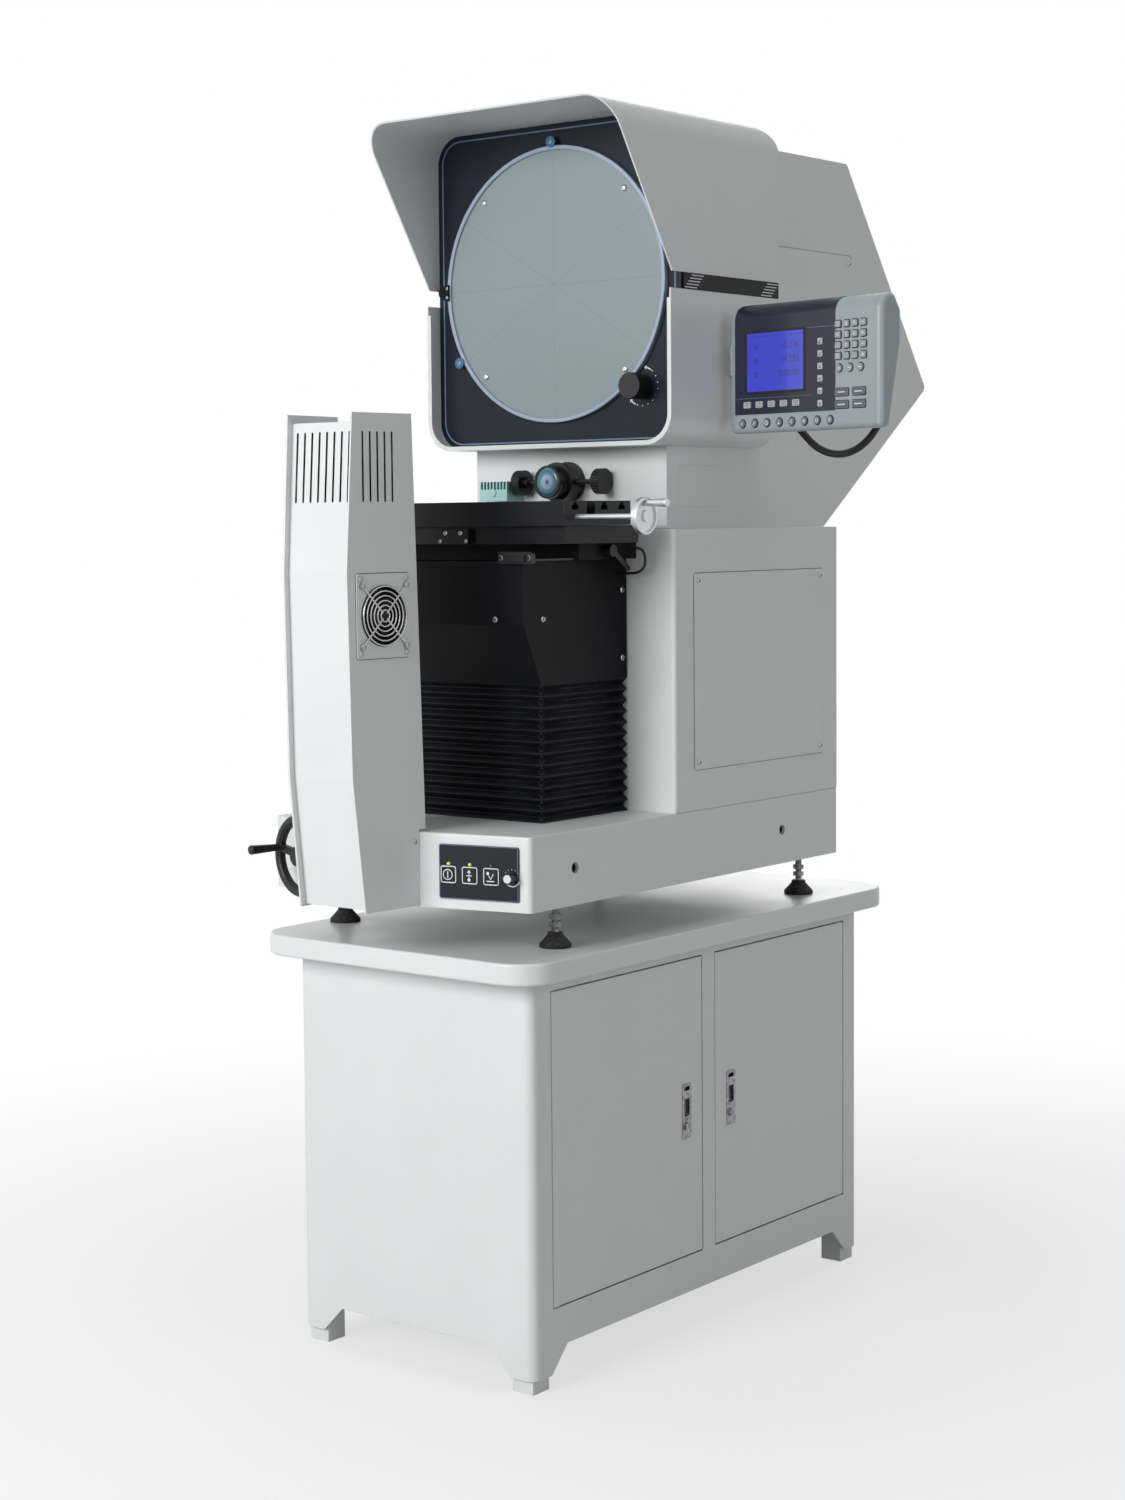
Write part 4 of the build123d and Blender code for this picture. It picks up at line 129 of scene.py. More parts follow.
def spread(tree, value, fromLow, fromHigh, low=0.0, high=1.0):
    return put(tree, "ShaderNodeMapRange", {"Value": value, "From Min": fromLow, "From Max": fromHigh,
                                            "To Min": low, "To Max": high}).outputs[0]


def noise(tree, place, scale, detail, rough=0.5):
    return put(tree, "ShaderNodeTexNoise", {"Vector": place, "Scale": scale, "Detail": detail,
                                            "Roughness": rough}).outputs[0]


def vectorMath(tree, operation, first, second):
    return put(tree, "ShaderNodeVectorMath", {0: first, 1: second}, operation=operation).outputs


def scaled(tree, vector, share):
    return put(tree, "ShaderNodeVectorMath", {0: vector, "Scale": share}, operation="SCALE").outputs[0]


def objectPlace(tree):
    return put(tree, "ShaderNodeTexCoord").outputs["Object"]


def objectParts(tree):
    return put(tree, "ShaderNodeSeparateXYZ", {0: objectPlace(tree)}).outputs


def mixColour(tree, share, under, over):
    mix = put(tree, "ShaderNodeMix", {0: share}, data_type="RGBA")
    for socket, value in ((mix.inputs[6], under), (mix.inputs[7], over)):
        if isinstance(value, bpy.types.NodeSocket):
            tree.links.new(value, socket)
        else:
            socket.default_value = (*value, 1)
    return mix.outputs[2]


def seenDirectly(tree):  # rays that show the background itself
    rays = put(tree, "ShaderNodeLightPath")
    share = calc(tree, "MAXIMUM", rays.outputs["Is Camera Ray"], rays.outputs["Is Glossy Ray"])
    return calc(tree, "MAXIMUM", share, rays.outputs["Is Transmission Ray"])


def setStudio(values):
    for name, lamp in values["lamps"].items():
        softLamp(name + "Lamp", *lamp)
    world = bpy.data.worlds.new("studioSky")
    tree = emptyTree(world)
    dim = put(tree, "ShaderNodeBackground", {"Color": (1, 1, 1, 1), "Strength": values["sky"]})
    white = put(tree, "ShaderNodeBackground", {"Color": (1, 1, 1, 1), "Strength": 1.0})
    mix = put(tree, "ShaderNodeMixShader", {0: seenDirectly(tree), 1: dim.outputs[0], 2: white.outputs[0]})
    put(tree, "ShaderNodeOutputWorld", {0: mix.outputs[0]})
    bpy.context.scene.world = world
    mesh = bpy.data.meshes.new("studioFloor")
    half = values["floorHalf"]
    corners = [(x, y, 0) for x, y in ((-half, -half), (half, -half), (half, half), (-half, half))]
    mesh.from_pydata(corners, [], [(0, 1, 2, 3)])
    floor = addObject("studioFloor", mesh)
    paper = bpy.data.materials.new("floorPaper")
    tree = emptyTree(paper)
    reach = put(tree, "ShaderNodeVectorMath", {0: objectPlace(tree)}, operation="LENGTH").outputs["Value"]
    fade = spread(tree, reach, values["fadeFrom"], values["fadeTo"], values["fadeLow"])
    bare = put(tree, "ShaderNodeBsdfDiffuse", {"Color": (*values["floorColour"], 1)})
    white = put(tree, "ShaderNodeEmission", {"Color": (1, 1, 1, 1), "Strength": 1.0})
    mix = put(tree, "ShaderNodeMixShader", {0: product(tree, seenDirectly(tree), fade), 1: bare.outputs[0],
                                            2: white.outputs[0]})
    put(tree, "ShaderNodeOutputMaterial", {0: mix.outputs[0]})
    mesh.materials.append(paper)


bpy.context.scene.view_settings.view_transform = "Standard"
setCamera(cameraView)
setStudio(studio)
print("camera and studio ready")


# shared effects

def newGroup(name, inputs, outputs):
    tree = bpy.data.node_groups.new(name, "ShaderNodeTree")
    for label, value in inputs.items():
        tree.interface.new_socket(label, in_out="INPUT", socket_type="NodeSocketFloat").default_value = value
    for label, kind in outputs.items():
        tree.interface.new_socket(label, in_out="OUTPUT", socket_type=kind)
    return tree, put(tree, "NodeGroupInput").outputs, put(tree, "NodeGroupOutput").inputs


# edge wear and painted highlight: a lighter colour along rounded edges, broken up by noise
def edgeWearAndHighlightGroup():
    tree, given, made = newGroup("edgeWearAndHighlight", {"Radius": 0.001, "Gain": 3.0},
                                 {"Edge": "NodeSocketFloat", "Rounded": "NodeSocketVector"})
    rounded = put(tree, "ShaderNodeBevel", {"Radius": given["Radius"]}, samples=4).outputs[0]
    plain = put(tree, "ShaderNodeNewGeometry").outputs["Normal"]
    facing = vectorMath(tree, "DOT_PRODUCT", rounded, plain)["Value"]
    lean = product(tree, calc(tree, "SUBTRACT", 1.0, facing), given["Gain"])
    broken = spread(tree, noise(tree, objectPlace(tree), 55.0, 4.0), 0.35, 0.62)
    tree.links.new(calc(tree, "MULTIPLY", lean, broken, True), made["Edge"])
    tree.links.new(rounded, made["Rounded"])
    return tree


def grainGroup():
    tree, given, made = newGroup("grain", {"Scale": 900.0, "Patches": 6.0},
                                 {"Height": "NodeSocketFloat", "Patch": "NodeSocketFloat"})
    place = objectPlace(tree)
    tree.links.new(noise(tree, place, given["Scale"], 2.0), made["Height"])
    broad = noise(tree, place, given["Patches"], 5.0, 0.6)
    tree.links.new(spread(tree, broad, 0.3, 0.7), made["Patch"])
    return tree


def dustGroup():
    tree, given, made = newGroup("dust", {"Amount": 0.2}, {"Dust": "NodeSocketFloat"})
    normal = put(tree, "ShaderNodeNewGeometry").outputs["Normal"]
    upward = put(tree, "ShaderNodeSeparateXYZ", {0: normal}).outputs[2]
    specks = noise(tree, objectPlace(tree), 180.0, 6.0)
    lying = product(tree, spread(tree, specks, 0.4, 0.75), spread(tree, upward, 0.3, 1.0))
    tree.links.new(calc(tree, "MULTIPLY", lying, given["Amount"], True), made["Dust"])
    return tree


def ribsGroup():  # level rings along the height, as on a thread
    tree, given, made = newGroup("ribs", {"Pitch": 0.001}, {"Height": "NodeSocketFloat"})
    turns = calc(tree, "DIVIDE", objectParts(tree)[2], given["Pitch"])
    tree.links.new(product(tree, calc(tree, "PINGPONG", turns, 0.5), 2.0), made["Height"])
    return tree


edgeWearAndHighlight, grain, dust, ribs = edgeWearAndHighlightGroup(), grainGroup(), dustGroup(), ribsGroup()
finishes = {}


def newFinish(name, scale, patches):
    finishes[name] = bpy.data.materials.new(name)
    tree = emptyTree(finishes[name])
    speckle = put(tree, "ShaderNodeGroup", node_tree=grain)
    speckle.inputs["Scale"].default_value, speckle.inputs["Patches"].default_value = scale, patches
    return tree, speckle.outputs


def closeFinish(tree, shader):
    put(tree, "ShaderNodeOutputMaterial", {0: shader.outputs[0]})


def finish(name, colour, rough, metal=0.0, coat=0.0, tone=0.05, scale=900.0, bump=0.25, patches=6.0,
           radius=0.0008, wearAndHighlight=None, wearAndHighlightShare=0.35, dusty=0.0, uneven=0.06, pitch=0.0, mask=None, over=None,
           shine=0.5):
    tree, speckle = newFinish(name, scale, patches)
    edges = put(tree, "ShaderNodeGroup", node_tree=edgeWearAndHighlight)
    edges.inputs["Radius"].default_value = radius
    darker = tuple(c * (1 - tone) for c in colour)
    lighter = tuple(min(1, c * (1 + tone)) for c in colour)
    shade = mixColour(tree, speckle["Patch"], darker, lighter)
    if mask:
        shade = mixColour(tree, mask(tree), shade, over)
    # lighter edges: partly wear, partly a painted edge highlight
    if wearAndHighlight:
        shade = mixColour(tree, product(tree, edges.outputs["Edge"], wearAndHighlightShare), shade, wearAndHighlight)
    if dusty:
        lying = put(tree, "ShaderNodeGroup", node_tree=dust)
        lying.inputs["Amount"].default_value = dusty
        shade = mixColour(tree, lying.outputs["Dust"], shade, (0.5, 0.49, 0.46))
    matt = spread(tree, speckle["Patch"], 0.0, 1.0, max(0.02, rough - uneven), min(1, rough + uneven))
    height = speckle["Height"]
    if pitch:
        rings = put(tree, "ShaderNodeGroup", node_tree=ribs)
        rings.inputs["Pitch"].default_value = pitch
        height = calc(tree, "ADD", product(tree, rings.outputs["Height"], 4.0), height)
    surface = put(tree, "ShaderNodeBump", {"Height": height, "Strength": bump, "Distance": 0.0002,
                                           "Normal": edges.outputs["Rounded"]})
    shader = put(tree, "ShaderNodeBsdfPrincipled", {"Base Color": shade, "Roughness": matt, "Metallic": metal,
                                                    "Coat Weight": coat, "Coat Roughness": 0.12,
                                                    "Specular IOR Level": shine, "Normal": surface.outputs[0]})
    closeFinish(tree, shader)


screenShape = {"angles": (0, 90, 32, -32), "halfLine": 0.0004, "strength": 0.3}


def screenLines(tree):  # lines through the middle of the ground glass
    parts = objectParts(tree)
    across = calc(tree, "SUBTRACT", parts[0], homeX)
    up = calc(tree, "SUBTRACT", parts[2], (glassLow.z + glassHigh.z) / 2)
    drawn = 0.0
    for angle in screenShape["angles"]:
        turned = math.radians(angle)
        away = calc(tree, "ADD", product(tree, across, math.sin(turned)), product(tree, up, math.cos(turned)))
        line = calc(tree, "LESS_THAN", calc(tree, "ABSOLUTE", away), screenShape["halfLine"])
        drawn = calc(tree, "MAXIMUM", drawn, line)
    return product(tree, drawn, screenShape["strength"])


def fromPlane(tree, origin, out):  # how far a point stands in front of a plane
    moved = vectorMath(tree, "SUBTRACT", objectPlace(tree), tuple(origin))[0]
    return vectorMath(tree, "DOT_PRODUCT", moved, out)["Value"]


# the last colour here is the painted shade inside the tower's slots
towerShape = {"lean": 4.7, "half": 62, "front": -142, "coverMiddle": (0, -158.5, 1147),
              "coverOut": (0, 205 / 205.44, -13.5 / 205.44), "slotHeight": (1242.5, 1339.5),
              "slotDepth": (-139, -79), "paint": 0.3, "fanPaint": 0.2, "coverPaint": 0.4, "coverRoom": 60,
              "hollow": (0.03, 0.026, 0.02)}


def plateDepth(tree, side):
    lean = math.radians(towerShape["lean"])
    corner = at(side * towerShape["half"], towerShape["front"], 0)
    return fromPlane(tree, corner, (side * math.cos(lean), -math.sin(lean), 0))


def between(tree, value, low, high):
    return product(tree, calc(tree, "GREATER_THAN", value, low), calc(tree, "LESS_THAN", value, high))


def behindPlate(tree):  # the fan's frame inside the tower is black
    return calc(tree, "LESS_THAN", plateDepth(tree, 1), -towerShape["fanPaint"] / 1000)


def slotHeight(tree):
    return between(tree, objectParts(tree)[2], *(z / 1000 for z in towerShape["slotHeight"]))


def plateSlotShade(tree):  # painted shade inside the slots of the two side plates
    paint = -towerShape["paint"] / 1000
    inner = product(tree, *(calc(tree, "LESS_THAN", plateDepth(tree, side), paint) for side in (1, -1)))
    across = between(tree, objectParts(tree)[1], *(homeY + y / 1000 for y in towerShape["slotDepth"]))
    return product(tree, inner, slotHeight(tree), across)


def coverSlotShade(tree):  # painted shade inside the slots of the front cover
    behind = fromPlane(tree, at(*towerShape["coverMiddle"]), towerShape["coverOut"])
    inner = between(tree, behind, *(towerShape[key] / 1000 for key in ("coverPaint", "coverRoom")))
    return product(tree, inner, slotHeight(tree))


def makeFinishes():
    pale, paleEdge, dark = (0.68, 0.70, 0.70), (0.78, 0.79, 0.79), towerShape["hollow"]
    bare = {"tone": 0.02, "scale": 1400, "bump": 0.18}
    painted = {**bare, "wearAndHighlight": paleEdge, "wearAndHighlightShare": 0.3}
    finish("bodyPaint", pale, 0.42, **painted, dusty=0.1, coat=0.05)
    finish("boardPaint", (0.69, 0.71, 0.71), 0.36, tone=0.02, scale=1100, bump=0.12, wearAndHighlight=paleEdge, dusty=0.15,
           coat=0.1, radius=0.0015)
    # both tower finishes carry painted shade inside their slots
    finish("sidePlatePaint", pale, 0.42, **painted, mask=plateSlotShade, over=dark)
    finish("coverPaint", pale, 0.42, **painted, mask=coverSlotShade, over=dark)
    finish("fanPlate", pale, 0.42, **bare, mask=behindPlate, over=(0.02, 0.02, 0.02))
    finish("blackPaint", (0.0042, 0.0046, 0.006), 0.42, tone=0.15, scale=1200, bump=0.3,
           wearAndHighlight=(0.06, 0.06, 0.065), wearAndHighlightShare=0.5, dusty=0.015, shine=0.1)
    finish("bezelPaint", (0.0095, 0.0125, 0.023), 0.34, tone=0.08, scale=1600, bump=0.15,
           wearAndHighlight=(0.12, 0.14, 0.2), shine=0.2)
    finish("blackAnodised", (0.008, 0.008, 0.0095), 0.33, tone=0.1, scale=1500, bump=0.2,
           wearAndHighlight=(0.2, 0.2, 0.21), wearAndHighlightShare=0.4, radius=0.0005, shine=0.4)
    finish("stageBlack", (0.0055, 0.006, 0.0075), 0.36, tone=0.15, scale=700, bump=0.2, wearAndHighlight=(0.2, 0.21, 0.22),
           wearAndHighlightShare=0.8, dusty=0.03, shine=0.2)
    finish("bareSteel", (0.5, 0.51, 0.52), 0.3, metal=1.0, tone=0.06, scale=600, bump=0.12, radius=0.0004)
    finish("satinAluminium", (0.56, 0.57, 0.59), 0.36, metal=1.0, tone=0.04, scale=1200, bump=0.14,
           radius=0.0005)
    finish("lampAluminium", (0.34, 0.56, 0.55), 0.4, metal=0.3, tone=0.08, bump=0.2)
    finish("threadSteel", (0.42, 0.42, 0.43), 0.24, metal=1.0, tone=0.08, scale=700, bump=0.6, pitch=0.00125)
    finish("chromePlate", (0.72, 0.73, 0.75), 0.14, metal=1.0, tone=0.03, scale=400, bump=0.05, uneven=0.04)
    finish("pullPlate", (0.24, 0.24, 0.26), 0.2, metal=1.0, tone=0.5, scale=260, bump=0.7, patches=140,
           wearAndHighlight=(0.85, 0.85, 0.86), wearAndHighlightShare=0.6, radius=0.0007, uneven=0.1)
    finish("guardWire", (0.4, 0.4, 0.41), 0.24, metal=1.0, scale=500, bump=0.08)
    # painted shade: near black for the lifting-bar holes and behind the readout window
    finish("hollow", (0.006, 0.006, 0.007), 0.8, tone=0.2, scale=600, bump=0.2, shine=0.1)
    finish("gapShade", (0.09, 0.09, 0.09), 0.6, tone=0.1, bump=0.2, shine=0.2)
    finish("screwSteel", (0.36, 0.36, 0.36), 0.26, metal=1.0, tone=0.1, bump=0.15, radius=0.0002)
    finish("ringMetal", (0.3, 0.36, 0.46), 0.34, metal=0.2, tone=0.06, scale=1200, bump=0.1, radius=0.0004)
    finish("rubber", (0.011, 0.011, 0.012), 0.62, tone=0.2, scale=500, bump=0.4, dusty=0.2,
           wearAndHighlight=(0.04, 0.04, 0.04), shine=0.25)
    finish("bellowsCloth", (0.0045, 0.0052, 0.0075), 0.46, tone=0.25, scale=1700, bump=0.5, patches=14,
           wearAndHighlight=(0.026, 0.028, 0.036), wearAndHighlightShare=0.3, dusty=0.01, radius=0.0006, shine=0.16)
    finish("blackPlastic", (0.009, 0.009, 0.01), 0.38, tone=0.1, wearAndHighlight=(0.06, 0.06, 0.065), shine=0.35)
    finish("bluePlastic", (0.016, 0.13, 0.27), 0.32, tone=0.08, bump=0.15, coat=0.2)
    film = {"tone": 0.1, "scale": 1800, "bump": 0.2, "wearAndHighlightShare": 0.4, "radius": 0.0004}
    finish("panelFilm", (0.0085, 0.0105, 0.017), 0.3, **film, wearAndHighlight=(0.12, 0.15, 0.22), shine=0.25)
    finish("stripFilm", (0.0045, 0.005, 0.006), 0.3, **film, wearAndHighlight=(0.1, 0.1, 0.12), shine=0.12)
    finish("casePlastic", (0.29, 0.335, 0.36), 0.4, tone=0.03, scale=1500, wearAndHighlight=(0.36, 0.4, 0.43),
           dusty=0.05, radius=0.0012)
    finish("fasciaFilm", (0.014, 0.018, 0.034), 0.26, tone=0.08, scale=1500, bump=0.1, coat=0.15,
           wearAndHighlight=(0.08, 0.1, 0.16), radius=0.0004, shine=0.4)
    keys = {"scale": 1200, "bump": 0.2, "radius": 0.0007}
    finish("keyPlastic", (0.27, 0.31, 0.34), 0.42, **keys, tone=0.06, wearAndHighlight=(0.5, 0.54, 0.57), wearAndHighlightShare=0.8)
    finish("paleKeyPlastic", (0.42, 0.45, 0.47), 0.42, **keys, wearAndHighlight=(0.6, 0.62, 0.65), wearAndHighlightShare=0.6)
    finish("roundKeyPlastic", (0.14, 0.17, 0.2), 0.42, **keys, tone=0.06, wearAndHighlight=(0.4, 0.44, 0.47), wearAndHighlightShare=0.8)
    finish("slateKeyPlastic", (0.085, 0.11, 0.135), 0.42, **keys, tone=0.06, wearAndHighlight=(0.3, 0.33, 0.36), wearAndHighlightShare=0.6)
    finish("groundGlass", (0.215, 0.265, 0.285), 0.4, tone=0.025, scale=2600, bump=0.12, patches=3, uneven=0.03,
           mask=screenLines, over=(0.07, 0.09, 0.1), coat=0.1)
    finish("mirrorGlass", (0.86, 0.88, 0.89), 0.05, metal=1.0, tone=0.01, scale=300, bump=0.02, uneven=0.02)
    finish("conduitPlastic", (0.009, 0.009, 0.01), 0.45, tone=0.15, scale=700, bump=0.3, dusty=0.05,
           wearAndHighlight=(0.05, 0.05, 0.055), radius=0.0004, shine=0.35)
    finish("cableRubber", (0.008, 0.008, 0.009), 0.4, tone=0.12, scale=1100, bump=0.3, radius=0.0003,
           shine=0.35)
    ink = {"scale": 1500, "bump": 0.15, "radius": 0.0002}
    finish("markInk", (0.66, 0.68, 0.7), 0.5, **ink)
    # dark print on the keys, and also the painted shade round the keys
    finish("darkInkAndGapShade", (0.02, 0.023, 0.035), 0.45, **ink, tone=0.1, shine=0.3)
    finish("blueInk", (0.12, 0.17, 0.27), 0.42, **ink, tone=0.06)


def glowing(name, colour, strength, base, pattern=None, rough=0.2):
    tree, speckle = newFinish(name, 1500, 30)
    darker = tuple(c * 0.85 for c in colour)
    shade = pattern(tree) if pattern else mixColour(tree, speckle["Patch"], darker, colour)
    dull = spread(tree, speckle["Patch"], 0.0, 1.0, rough * 0.8, rough * 1.3)
    shader = put(tree, "ShaderNodeBsdfPrincipled", {"Base Color": (*base, 1), "Roughness": dull,
                                                    "Emission Color": shade, "Emission Strength": strength,
                                                    "Coat Weight": 0.4})
    closeFinish(tree, shader)


lensReflection = {"height": 1.2735, "radius": 0.0215,
             "rings": ((0.0, (0.03, 0.06, 0.1)), (0.12, (0.03, 0.07, 0.12)), (0.17, (0.3, 0.5, 0.7)),
                       (0.42, (0.45, 0.62, 0.8)), (0.6, (0.1, 0.25, 0.4)), (0.82, (0.03, 0.1, 0.14)),
                       (0.93, (0.03, 0.3, 0.3)), (1.0, (0.12, 0.75, 0.7)))}


def lensReflectionRings(tree):  # painted reflection that glows on the lens: pale blue middle, dark rim and a bright green-blue edge
    parts = objectParts(tree)
    across = calc(tree, "SUBTRACT", parts[0], homeX)
    up = calc(tree, "SUBTRACT", parts[2], lensReflection["height"])
    reach = calc(tree, "SQRT", calc(tree, "ADD", product(tree, across, across), product(tree, up, up)))
    ramp = put(tree, "ShaderNodeValToRGB", {0: calc(tree, "DIVIDE", reach, lensReflection["radius"])})
    stops = ramp.color_ramp.elements
    for stop, (share, tint) in zip((stops[0], stops[1]), (lensReflection["rings"][0], lensReflection["rings"][-1])):
        stop.position, stop.color = share, (*tint, 1)
    for share, tint in lensReflection["rings"][1:-1]:
        stops.new(share).color = (*tint, 1)
    # painted highlight: the glow is brighter towards one side of the lens
    lean = spread(tree, calc(tree, "SUBTRACT", up, across), -0.02, 0.02, 0.35, 1.1)
    return scaled(tree, ramp.outputs[0], lean)


makeFinishes()
# painted reflection on the lens glass, which glows though it is no lamp
glowing("lensPaintedReflection", (0.3, 0.6, 0.8), 0.55, (0.02, 0.05, 0.07), lensReflectionRings, 0.06)
glowing("windowGlow", (0.04, 0.055, 0.62), 0.85, (0.01, 0.01, 0.05), rough=0.16)
glowing("digitGlow", (0.02, 0.018, 0.2), 0.8, (0.01, 0.01, 0.03))
glowing("greenLamp", (0.5, 0.85, 0.1), 1.0, (0.1, 0.2, 0.03))
glowing("darkLamp", (0.02, 0.03, 0.02), 0.3, (0.05, 0.06, 0.05))

finishNodes = {
    "bodyPaint": "cabinet_body door_front door_rear base_housing lower_column side_covers upper_housing hood "
                 "head_shroud",
    "boardPaint": "work_board", "sidePlatePaint": "tower_side_plates", "coverPaint": "tower_covers",
    "fanPlate": "fan_mount", "pullPlate": "door_pull_front door_pull_rear", "rubber": "foot_pads",
    "threadSteel": "foot_studs", "bareSteel": "lift_screw", "screwSteel": "cover_screws",
    "panelFilm": "control_panel power_button contour_button surface_button",
    "blackPlastic": "brightness_knob lift_handwheel lift_grip rotation_knob fan_rotor",
    "stripFilm": "trim_strips index_plate", "bezelPaint": "bezel_panel", "ringMetal": "screen_ring",
    "groundGlass": "screen_glass", "chromePlate": "chart_clips", "bluePlastic": "roller_top roller_left",
    "mirrorGlass": "folding_mirrors", "lensPaintedReflection": "lens_glass", "lampAluminium": "surface_light",
    "blackAnodised": "lens_mount lens_barrel reflector_knobs focus_knob stage_fittings contour_light",
    "blackPaint": "lift_box", "bellowsCloth": "bellows", "stageBlack": "stage_saddle stage_table",
    "satinAluminium": "x_handwheel x_grip display_bracket", "cableRubber": "stage_cable",
    "guardWire": "fan_guard", "casePlastic": "display_case", "fasciaFilm": "display_window",
    "keyPlastic": "number_keys", "paleKeyPlastic": "menu_keys", "roundKeyPlastic": "shape_keys",
    "conduitPlastic": "display_conduit",
}
nodeFinish = {name: look for look, names in finishNodes.items() for name in names.split()}
for name, look in nodeFinish.items():
    if not nodes[name].material_slots:
        nodes[name].data.materials.append(finishes[look])
    for slot in nodes[name].material_slots:
        slot.material = finishes[look]
print("finishes ready", len(finishes), "nodes without one", sorted(set(nodes) - set(nodeFinish)))


# faces that small pieces lie on

def faceFrame(origin, along):  # millimetres on an upright face, third one outward
    along, up = Vector(along).normalized(), Vector((0, 0, 1))
    turned = Matrix((along, up, along.cross(up))).transposed().to_4x4()
    return Matrix.Translation(origin) @ turned @ Matrix.Scale(0.001, 4)


caseTurn, panelTurn, towerTurn = (math.radians(angle) for angle in (11.1, 12, towerShape["lean"]))
panelHalf = 79
caseFace = faceFrame(at(254, 466, 1340.5), (math.cos(caseTurn), -math.sin(caseTurn), 0))
panelFace = faceFrame(at(240 - panelHalf * math.cos(panelTurn), -3 - panelHalf * math.sin(panelTurn), 732),
                      (math.cos(panelTurn), math.sin(panelTurn), 0))
bezelBack = 375
bezelFace = faceFrame(at(0, bezelBack, 1571), (1, 0, 0))
towerFace = faceFrame(at(towerShape["half"], towerShape["front"], 0),
                      (math.sin(towerTurn), math.cos(towerTurn), 0))
flankFace, leftFace, frontFace = (faceFrame(at(0, 0, 0), along) for along in ((0, 1, 0), (0, -1, 0), (1, 0, 0)))
inkLayer = (0.02, 0.22)
overlap = 0.01  # a mark that crosses another lies this much higher


def skin(bm, one, two, closed=True):  # faces between two rows of points
    count = len(one)
    for n in range(count if closed else count - 1):
        m = (n + 1) % count
        bm.faces.new((one[n], one[m], two[m], two[n]))


def closeRings(bm, rings):
    for one, two in zip(rings, rings[1:]):
        skin(bm, one, two)
    bm.faces.new(rings[0][::-1])
    bm.faces.new(rings[-1])


def slab(bm, outline, low, high):
    closeRings(bm, [[bm.verts.new((x, y, z)) for x, y in outline] for z in (low, high)])


def band(bm, outer, inner, low, high, closed=True):
    rows = [[bm.verts.new((x, y, z)) for x, y in line] for line, z in
            ((outer, low), (outer, high), (inner, high), (inner, low))]
    for n in range(4):
        skin(bm, rows[n], rows[(n + 1) % 4], closed)
    if not closed:
        bm.faces.new([row[0] for row in rows])
        bm.faces.new([row[-1] for row in rows][::-1])


def onCircle(x, y, radius, degrees):
    return x + radius * math.cos(math.radians(degrees)), y + radius * math.sin(math.radians(degrees))


def ringPoints(x, y, radius, start=0.0, stop=360.0, count=32):
    steps = count if abs(stop - start) >= 360 else count - 1
    return [onCircle(x, y, radius, start + (stop - start) * n / steps) for n in range(count)]


def roundedBox(x, y, width, height, corner, steps):
    middles = [(x + sx * (width / 2 - corner), y + sy * (height / 2 - corner), start)
               for sx, sy, start in ((1, 1, 0), (-1, 1, 90), (-1, -1, 180), (1, -1, 270))]
    return [onCircle(cx, cy, corner, start + 90 * n / steps) for cx, cy, start in middles
            for n in range(steps + 1)]


def bar(bm, start, end, width, low, high):
    (x0, y0), (x1, y1) = start, end
    length = math.hypot(x1 - x0, y1 - y0)
    sx, sy = -(y1 - y0) / length * width / 2, (x1 - x0) / length * width / 2
    slab(bm, [(x0 - sx, y0 - sy), (x1 - sx, y1 - sy), (x1 + sx, y1 + sy), (x0 + sx, y0 + sy)], low, high)


def rim(bm, x, y, outer, inner, low, high, steps=5):  # width, height and corner outside and inside
    band(bm, roundedBox(x, y, *outer, steps), roundedBox(x, y, *inner, steps), low, high)


def drawSign(bm, parts, x, y, low, high):  # measured from the sign's middle
    for kind, *sizes in parts:
        if kind == "bar":
            x0, y0, x1, y1, width, *more = sizes
            bar(bm, (x + x0, y + y0), (x + x1, y + y1), width, low, high + sum(more))
        elif kind == "disc":
            slab(bm, ringPoints(x + sizes[0], y + sizes[1], sizes[2], count=sizes[3]), low, high)
        elif kind == "ring":
            outer, inner, count = sizes
            band(bm, ringPoints(x, y, outer, count=count), ringPoints(x, y, inner, count=count), low, high)
        elif kind == "frame":
            rim(bm, x, y, *sizes, low, high, 3)
        else:
            slab(bm, [(x + dx, y + dy) for dx, dy in sizes], low, high)


def meshFrom(name, bm):
    bmesh.ops.recalc_face_normals(bm, faces=bm.faces)
    mesh = bpy.data.meshes.new(name)
    bm.to_mesh(mesh)
    bm.free()
    return mesh


def plainMesh(piece):
    return bpy.data.meshes.new_from_object(piece.evaluated_get(bpy.context.evaluated_depsgraph_get()))


def dress(name, mesh, look, body, smooth):
    for polygon in mesh.polygons:
        polygon.use_smooth = smooth
    mesh.materials.append(finishes[look])
    piece = addObject(name, mesh)
    if body:
        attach(piece, body)
    return piece


def settle(name, bm, face, look, body, smooth=False):
    mesh = meshFrom(name, bm)
    mesh.transform(face)
    return dress(name, mesh, look, body, smooth)


def drawNumbers(bm, spots, size, low, half=0.06):  # plain numerals, each at its middle
    for text, x, y in spots:
        data = bpy.data.curves.new("numeral", "FONT")
        data.body, data.size, data.align_x, data.align_y = text, size, "CENTER", "CENTER"
        data.extrude, data.resolution_u = half, 3
        numeral = addObject("numeral", data)
        mesh = plainMesh(numeral)
        mesh.transform(Matrix.Translation((x, y, low + half)))
        bm.from_mesh(mesh)
        bpy.data.objects.remove(numeral)
        bpy.data.meshes.remove(mesh)


# cords

